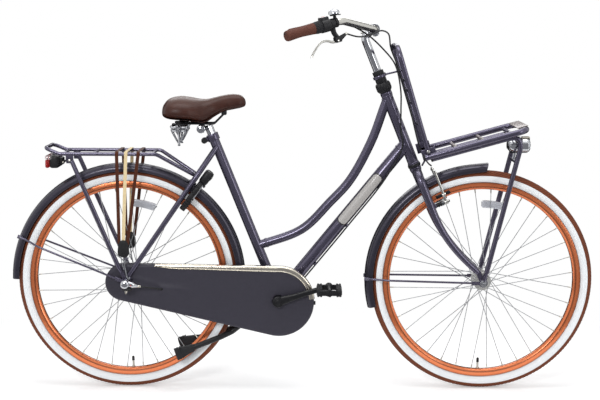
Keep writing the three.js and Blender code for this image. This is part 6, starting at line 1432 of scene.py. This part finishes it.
def case_shell(seam, face, rim, holes, swells):
    """One shell: a rounded rim out to the face, the face with its holes, and the same inside its wall."""
    out = np.sign(face - seam)
    edge = case_outline(rim)
    circles, spots, cells = case_face(edge, holes)
    levels = np.array([face, face - out * CASE_WALL])
    skins = [(points(spots[:, 0], level + out * swells * swelling(*spots.T), spots[:, 1]), cells)
             for level in levels]
    for circle in circles:
        wall = points(circle[:, 0], levels[:, None] + out * swells * swelling(*circle.T), circle[:, 1])
        skins.append((skin(wall)[0], skin(wall)[1][:-2]))
    fall = np.radians([0, 18, 36, 54, 72, 90])
    profile = [(0.0, seam)] + [(rim * (1 - np.cos(a)), face - out * rim * 0.6 * (1 - np.sin(a)))
                               for a in fall]
    inner = [(CASE_WALL, seam)] + [(max(CASE_WALL, inset), y - out * CASE_WALL if inset > 0.2 else y)
                                   for inset, y in profile[1:]]
    rings = []
    for inset, y in profile + inner[::-1]:
        x, z = case_outline(inset).T
        rings.append(points(x, y, z))
    rings, last = np.array(rings), len(profile) - 1
    rings[last:last + 2, :, 1] += out * swells * swelling(*edge.T)
    strip = skin(rings, True)
    return skins + [(strip[0], [cell for i, cell in enumerate(strip[1]) if i // len(edge) != last])]


for name, shell in (("outer", case_shell(-50, -66, 8, [((486, 298), 16), ((0, 358), 19)], 1)),
                    ("inner", case_shell(-49.7, -34.5, 5, [((486, 298), 14.2), ((0, 358), 22)], 0))):
    piece("chaincase_" + name + "_shell", shell, CASE_PLASTIC, FRAME, "chaincase_" + name)
piece("chaincase_cable_grommet", [disc([112, -68, 336], LEFT, 5, -1.8, 1.6, 0.8, 24),
                                  slab([602.4, -57, 291], [7, 9, 12], edge=1.5)], BLACK_PLASTIC, FRAME)

# The chaincase trim: a bright anodised moulding clipped along the top edge, with a fine bead below its crown.
# It starts behind the seat stay and ends at the front of the case.
x, z = case_outline(0).T
trim_line = case_outline(0)[(x >= 85) & (z >= 300) & (z > 356 - 0.123 * x)]
slope = np.gradient(trim_line, axis=0)
inward = slope[:, ::-1] * [-1, 1] / np.linalg.norm(slope, axis=1, keepdims=True)
deep, across = np.array([
    [-2.3, -52], [-2.3, -62], [-1.6, -65], [0, -66.9], [3, -68.2], [7.5, -68.7], [11.6, -68.2], [12.8, -67.4],
    [13.6, -68.1], [15, -68.1], [15.8, -66.4], [8, -66.2], [1.5, -65.4], [-0.3, -62], [-0.3, -52]]).T
fade = taper(trim_line, [0, 0.55, 0.93, 1], [1, 1, 0.75, 0.35])[:, None]
spot = trim_line[:, None] + np.where(deep > 0, deep * fade, deep)[..., None] * inward[:, None]
piece("chaincase_bright_trim", [skin(points(spot[..., 0], across, spot[..., 1]))],
      chromium_plate("bright_trim", "#dcd5c6", 0.14, 0.22), FRAME, "chaincase_trim")

# The cranks: forged steel arms, stoved black, on a square-ended spindle, each held by a hexagon bolt.
# The right one carries the toothed chainring, which runs inside the chaincase.
BLACK_STEEL = moulded_plastic("black_stoved_crank_steel", "#131315", "#1e1e21", 0.3, 0.42, 2.0, "stand_steel")
CHAIN_PLANE = -48.0
RING_PITCH, SPROCKET_PITCH = 76.9, 36.57
CRANK_AIM = {-1: heading(17.6), 1: heading(197.6)}
CRANK_LENGTH = 170


def toothed_ring(centre, teeth, pitch, inner):
    """A chainwheel's rim: its radius follows a softened cosine about the pitch circle, once a tooth."""
    turn = around(teeth * 10)
    radius = pitch + 3.1 * np.tanh(1.6 * np.cos(turn * teeth))
    loops = [(inner, -1.4), (radius - 3.4, -1.4), (radius, -0.63), (radius, 0.63), (radius - 3.4, 1.4),
             (inner, 1.4)]
    return skin(np.stack([centre + swept(turn, reach, CHAIN_PLANE + y) for reach, y in loops]), True)


def crank_skins(side):
    """The boss, the arm as an oval carried outward and waisted, the eye and the pedal's pin."""
    outward = side * LEFT
    boss = CRANK_AXIS + 79 * outward
    tip = boss + CRANK_LENGTH * CRANK_AIM[side]
    line = boss + np.linspace(0, 1, 26)[:, None] * (tip - boss)
    wide = taper(line, [0, 0.09, 0.3, 0.75, 0.93, 1], [15, 13.6, 10.2, 8.4, 9.6, 10.6])
    wide = np.convolve(np.pad(wide, 1, "edge"), [0.25, 0.5, 0.25], "valid")[:, None]
    across, rise = powered(rays(around(32)), 0.62).T
    return [carried(points(wide * across, 5.8 * rise), line, LEFT),
            disc(CRANK_AXIS, outward, 18, 68, 85, 2.4, 48),
            disc(tip, LEFT, 12, -6, 6, 2, 36), disc(tip, outward, 5, 5, 100, 0.8, 20),
            disc(tip, outward, 7.4, 6, 10, 0.8, 6)]


chainring = [disc(CRANK_AXIS, LEFT, 13.6, -48, -73, 1, 32), toothed_ring(CRANK_AXIS, 38, RING_PITCH, 62)]
chainring += [slab(CRANK_AXIS + heading(turn) * 38 + CHAIN_PLANE * LEFT, [56, 2.8, 16], heading(turn),
                   heading(turn + 90), 0.8) for turn in range(20, 380, 72)]
for side, name in SIDES:
    piece(name + "_crank_arm", crank_skins(side) + (chainring if side < 0 else []), BLACK_STEEL, "cranks",
          name + "_crank")
    piece(name + "_crank_bolt", [disc(CRANK_AXIS, side * LEFT, 11.4, 84.4, 86.2, 0.5, 40),
                                 disc(CRANK_AXIS, side * LEFT, 8.8, 85.4, 91, 1.2, 6)],
          STEEL if side > 0 else BLACK_STEEL, "cranks")
piece("bracket_spindle",
      [disc(CRANK_AXIS, LEFT, 7.8, -78.6, 78.6, 0.8, 24), disc(CRANK_AXIS, LEFT, 9.4, -33, 33, 1, 24)],
      STEEL, "cranks", "crank_spindle")
lock_ring = [[9.8, 34.4], [18.4, 34.4], [19, 35.2], [19, 38], [18.4, 38.8], [9.8, 38.8]]
piece("bracket_lock_ring", [fluted(lock_ring, CRANK_AXIS, LEFT, 12, 0.06, 96)], BLACK_STEEL, FRAME)

# The pedals: two rubber treads with moulded studs, bolted between end plates, on a barrel with a hexagon cap.
# Each screws into its crank's eye.
PEDAL_RUBBER = moulded_plastic("black_pedal_rubber", "#161618", "#252528", 0.55, 0.75, 1.6)


def tread_skins(tip, side):
    """The two rubber treads, with studs above, below and on the outer edge."""
    skins = []
    for ahead in (-1, 1):
        skins.append(slab(tip + [ahead * 30, side * 138, 0], [17, 95, 21], edge=3))
        for y in side * (98 + 13.3 * np.arange(7)):
            skins += [slab(tip + [ahead * 30 + row, y, high], [6.4, 9, 4.6], edge=1.4)
                      for row in (-4.4, 4.4) for high in (-10.6, 10.6)]
            skins.append(slab(tip + [ahead * 38.4, y, 0], [2.6, 8, 12], edge=0.9))
    return skins


def cage_skins(tip, side):
    """The barrel on the pin with its caps, and the two end plates with their bolts."""
    skins = [disc(tip, side * LEFT, 9, 92, 184, 1, 32), disc(tip, side * LEFT, 13.2, 180, 186, 1.6, 6),
             disc(tip, side * LEFT, 11, 90.4, 96, 1, 28)]
    for y in (side * 93, side * 183):
        skins.append(slab(tip + [0, y, 0], [62, 5.4, 18], edge=2.4))
        skins += [disc(tip + [ahead, y, 0], LEFT, 4, -3.4, 3.4, 0.8, 6) for ahead in (-30, 30)]
    return skins


for side, name in SIDES:
    tip = CRANK_AXIS + CRANK_LENGTH * CRANK_AIM[side]
    piece(name + "_pedal_treads", tread_skins(tip, side), PEDAL_RUBBER, "pedal_" + name, name + "_pedal")
    piece(name + "_pedal_cage", cage_skins(tip, side), BLACK_STEEL, "pedal_" + name)

# The chain and the rear sprocket, inside the case: half inch links of side plates on rollers.
# The sprocket is pressed on the gear hub's driver.
driver = [[5.4, -57], [11.4, -57], [12, -56.4], [12, -34.6], [5.4, -34.6]]
piece("hub_sprocket",
      [toothed_ring(REAR_AXLE, 18, SPROCKET_PITCH, 12), turned(driver, REAR_AXLE, LEFT, 36, True)], STEEL,
      "sprocket", "rear_sprocket")


def chain_pins():
    """The pins: a belt's line round both wheels, walked in an even number of equal steps."""
    loop = np.vstack(belt_arcs(CRANK_AXIS[[0, 2]], RING_PITCH, REAR_AXLE[[0, 2]], SPROCKET_PITCH, 60, 40))
    loop = np.vstack([loop, loop[:1]])
    walked = np.concatenate([[0], np.cumsum(np.linalg.norm(np.diff(loop, axis=0), axis=1))])
    count = 2 * int(round(walked[-1] / 25.4))
    at = np.linspace(0, walked[-1], count, endpoint=False)
    return points(np.interp(at, walked, loop[:, 0]), CHAIN_PLANE, np.interp(at, walked, loop[:, 1]))


pins = chain_pins()
link_end = 4.2 * rays(np.radians([90, 135, 180, 225, 270]))
link = np.vstack([link_end, [6.35, -3.2], [12.7, 0] - link_end, [6.35, 3.2]])
links = []
for number, (pin, following) in enumerate(zip(pins, np.roll(pins, -1, 0))):
    along = unit(following - pin)
    plate = pin + link[:, :1] * along + link[:, 1:] * np.cross(along, LEFT)
    offset = 2.3 if number % 2 else 3.1
    links += [skin([plate + side * (offset + thick) * LEFT for thick in (-0.35, 0.35)]) for side, _ in SIDES]
    links.append(turned([[0, -3.9], [2.6, -3.9], [2.6, 3.9], [0, 3.9]], pin, LEFT, 10))
piece("roller_chain", links, STEEL, FRAME, "chain")

# The click box: a chromed cap over the axle end, with a black cover below and the cable's stop at its nose.
# It turns the cable's pull into a push on the hub's rod.
dome = rays(np.linspace(0, np.pi / 2, 8)) ** [0.7, 1] * [14.6, -10.4] + [0, -108]
nose = REAR_AXLE + np.array([[4, -101, -0.5], [18, -100.5, -1.5], [30, -97, -5], [40, -93.2, -8]])
nose_line = smooth_line(nose, 6)
adjuster_place = REAR_AXLE + [3, -103, -18]
piece("click_box_cap",
      [turned(np.vstack([[[0, -88.4], [12.4, -88.4], [14.6, -90.4]], dome]), REAR_AXLE, LEFT, 48),
       tube(nose_line, taper(nose_line, [0, 0.5, 1], [12.4, 9.6, 4.2]), 28, 2)], CHROME, FRAME,
      "click_box")
piece("click_box_cover", [slab(REAR_AXLE + [6, -102, -15.4], [30, 24, 9], heading(-4), heading(86), 3.6)],
      BLACK_PLASTIC, FRAME)
piece("click_box_adjuster", [disc(adjuster_place, DOWNWARD, 4.6, 0, 9, 0.8, 6),
                             disc(adjuster_place, DOWNWARD, 2.8, 8, 12.5, 0.6, 16),
                             tube([nose[-1], nose[-1] + [9, 0.3, -0.9]], [4.4, 3.3], 14, 0.8)], BRASS, FRAME)
piece("click_box_mark", [slab(REAR_AXLE + [19, -110.6, -2.5], [3.4, 1.4, 4.6], edge=0.6)],
      enamel("red_setting_mark", "#c5402c", 0.4), FRAME)

# The stand: two steel tube legs on a rod under the frame, stoved black, with a rubber shoe on each foot.
# It folds back and up behind the bottom bracket.
stand_parts, shoes = [disc(STAND_PIVOT, LEFT, 7, -24, 24, 1, 24)], []
for side, _ in SIDES:
    hinge, knee, foot = np.array([[424.0, side * 24, 260], [296, side * 41, 172], [162, side * 76, 126]])
    aim = unit(foot - knee)
    upright = unit(-DOWNWARD - aim[2] * aim)
    stand_parts += [tube(bend([hinge, [336, side * 24, 188], knee, foot], 26, 10), 9.2, 22, 1),
                    disc(hinge, LEFT, 11, -5, 5, 1.5, 28)]
    along = np.linspace(-60, 6, 14)[:, None]
    grow = taper(along, [0, 0.2, 0.7, 1], [10.4, 12.2, 18, 20.5])[:, None]
    across, rise = powered(rays(around(28)), 0.6).T
    shoes.append(carried(points(np.minimum(grow, 13) * across, grow * rise),
                         foot + along * aim - (grow - 10) * 0.1 * upright, upright))
    shoes += [slab(foot - aim * place, [2.6, 27, 38], aim, upright, 1.2) for place in (14, 6)]
piece("stand_legs", stand_parts, BLACK_STEEL, "stand", "kickstand")
piece("stand_shoes", shoes, PEDAL_RUBBER, "stand")
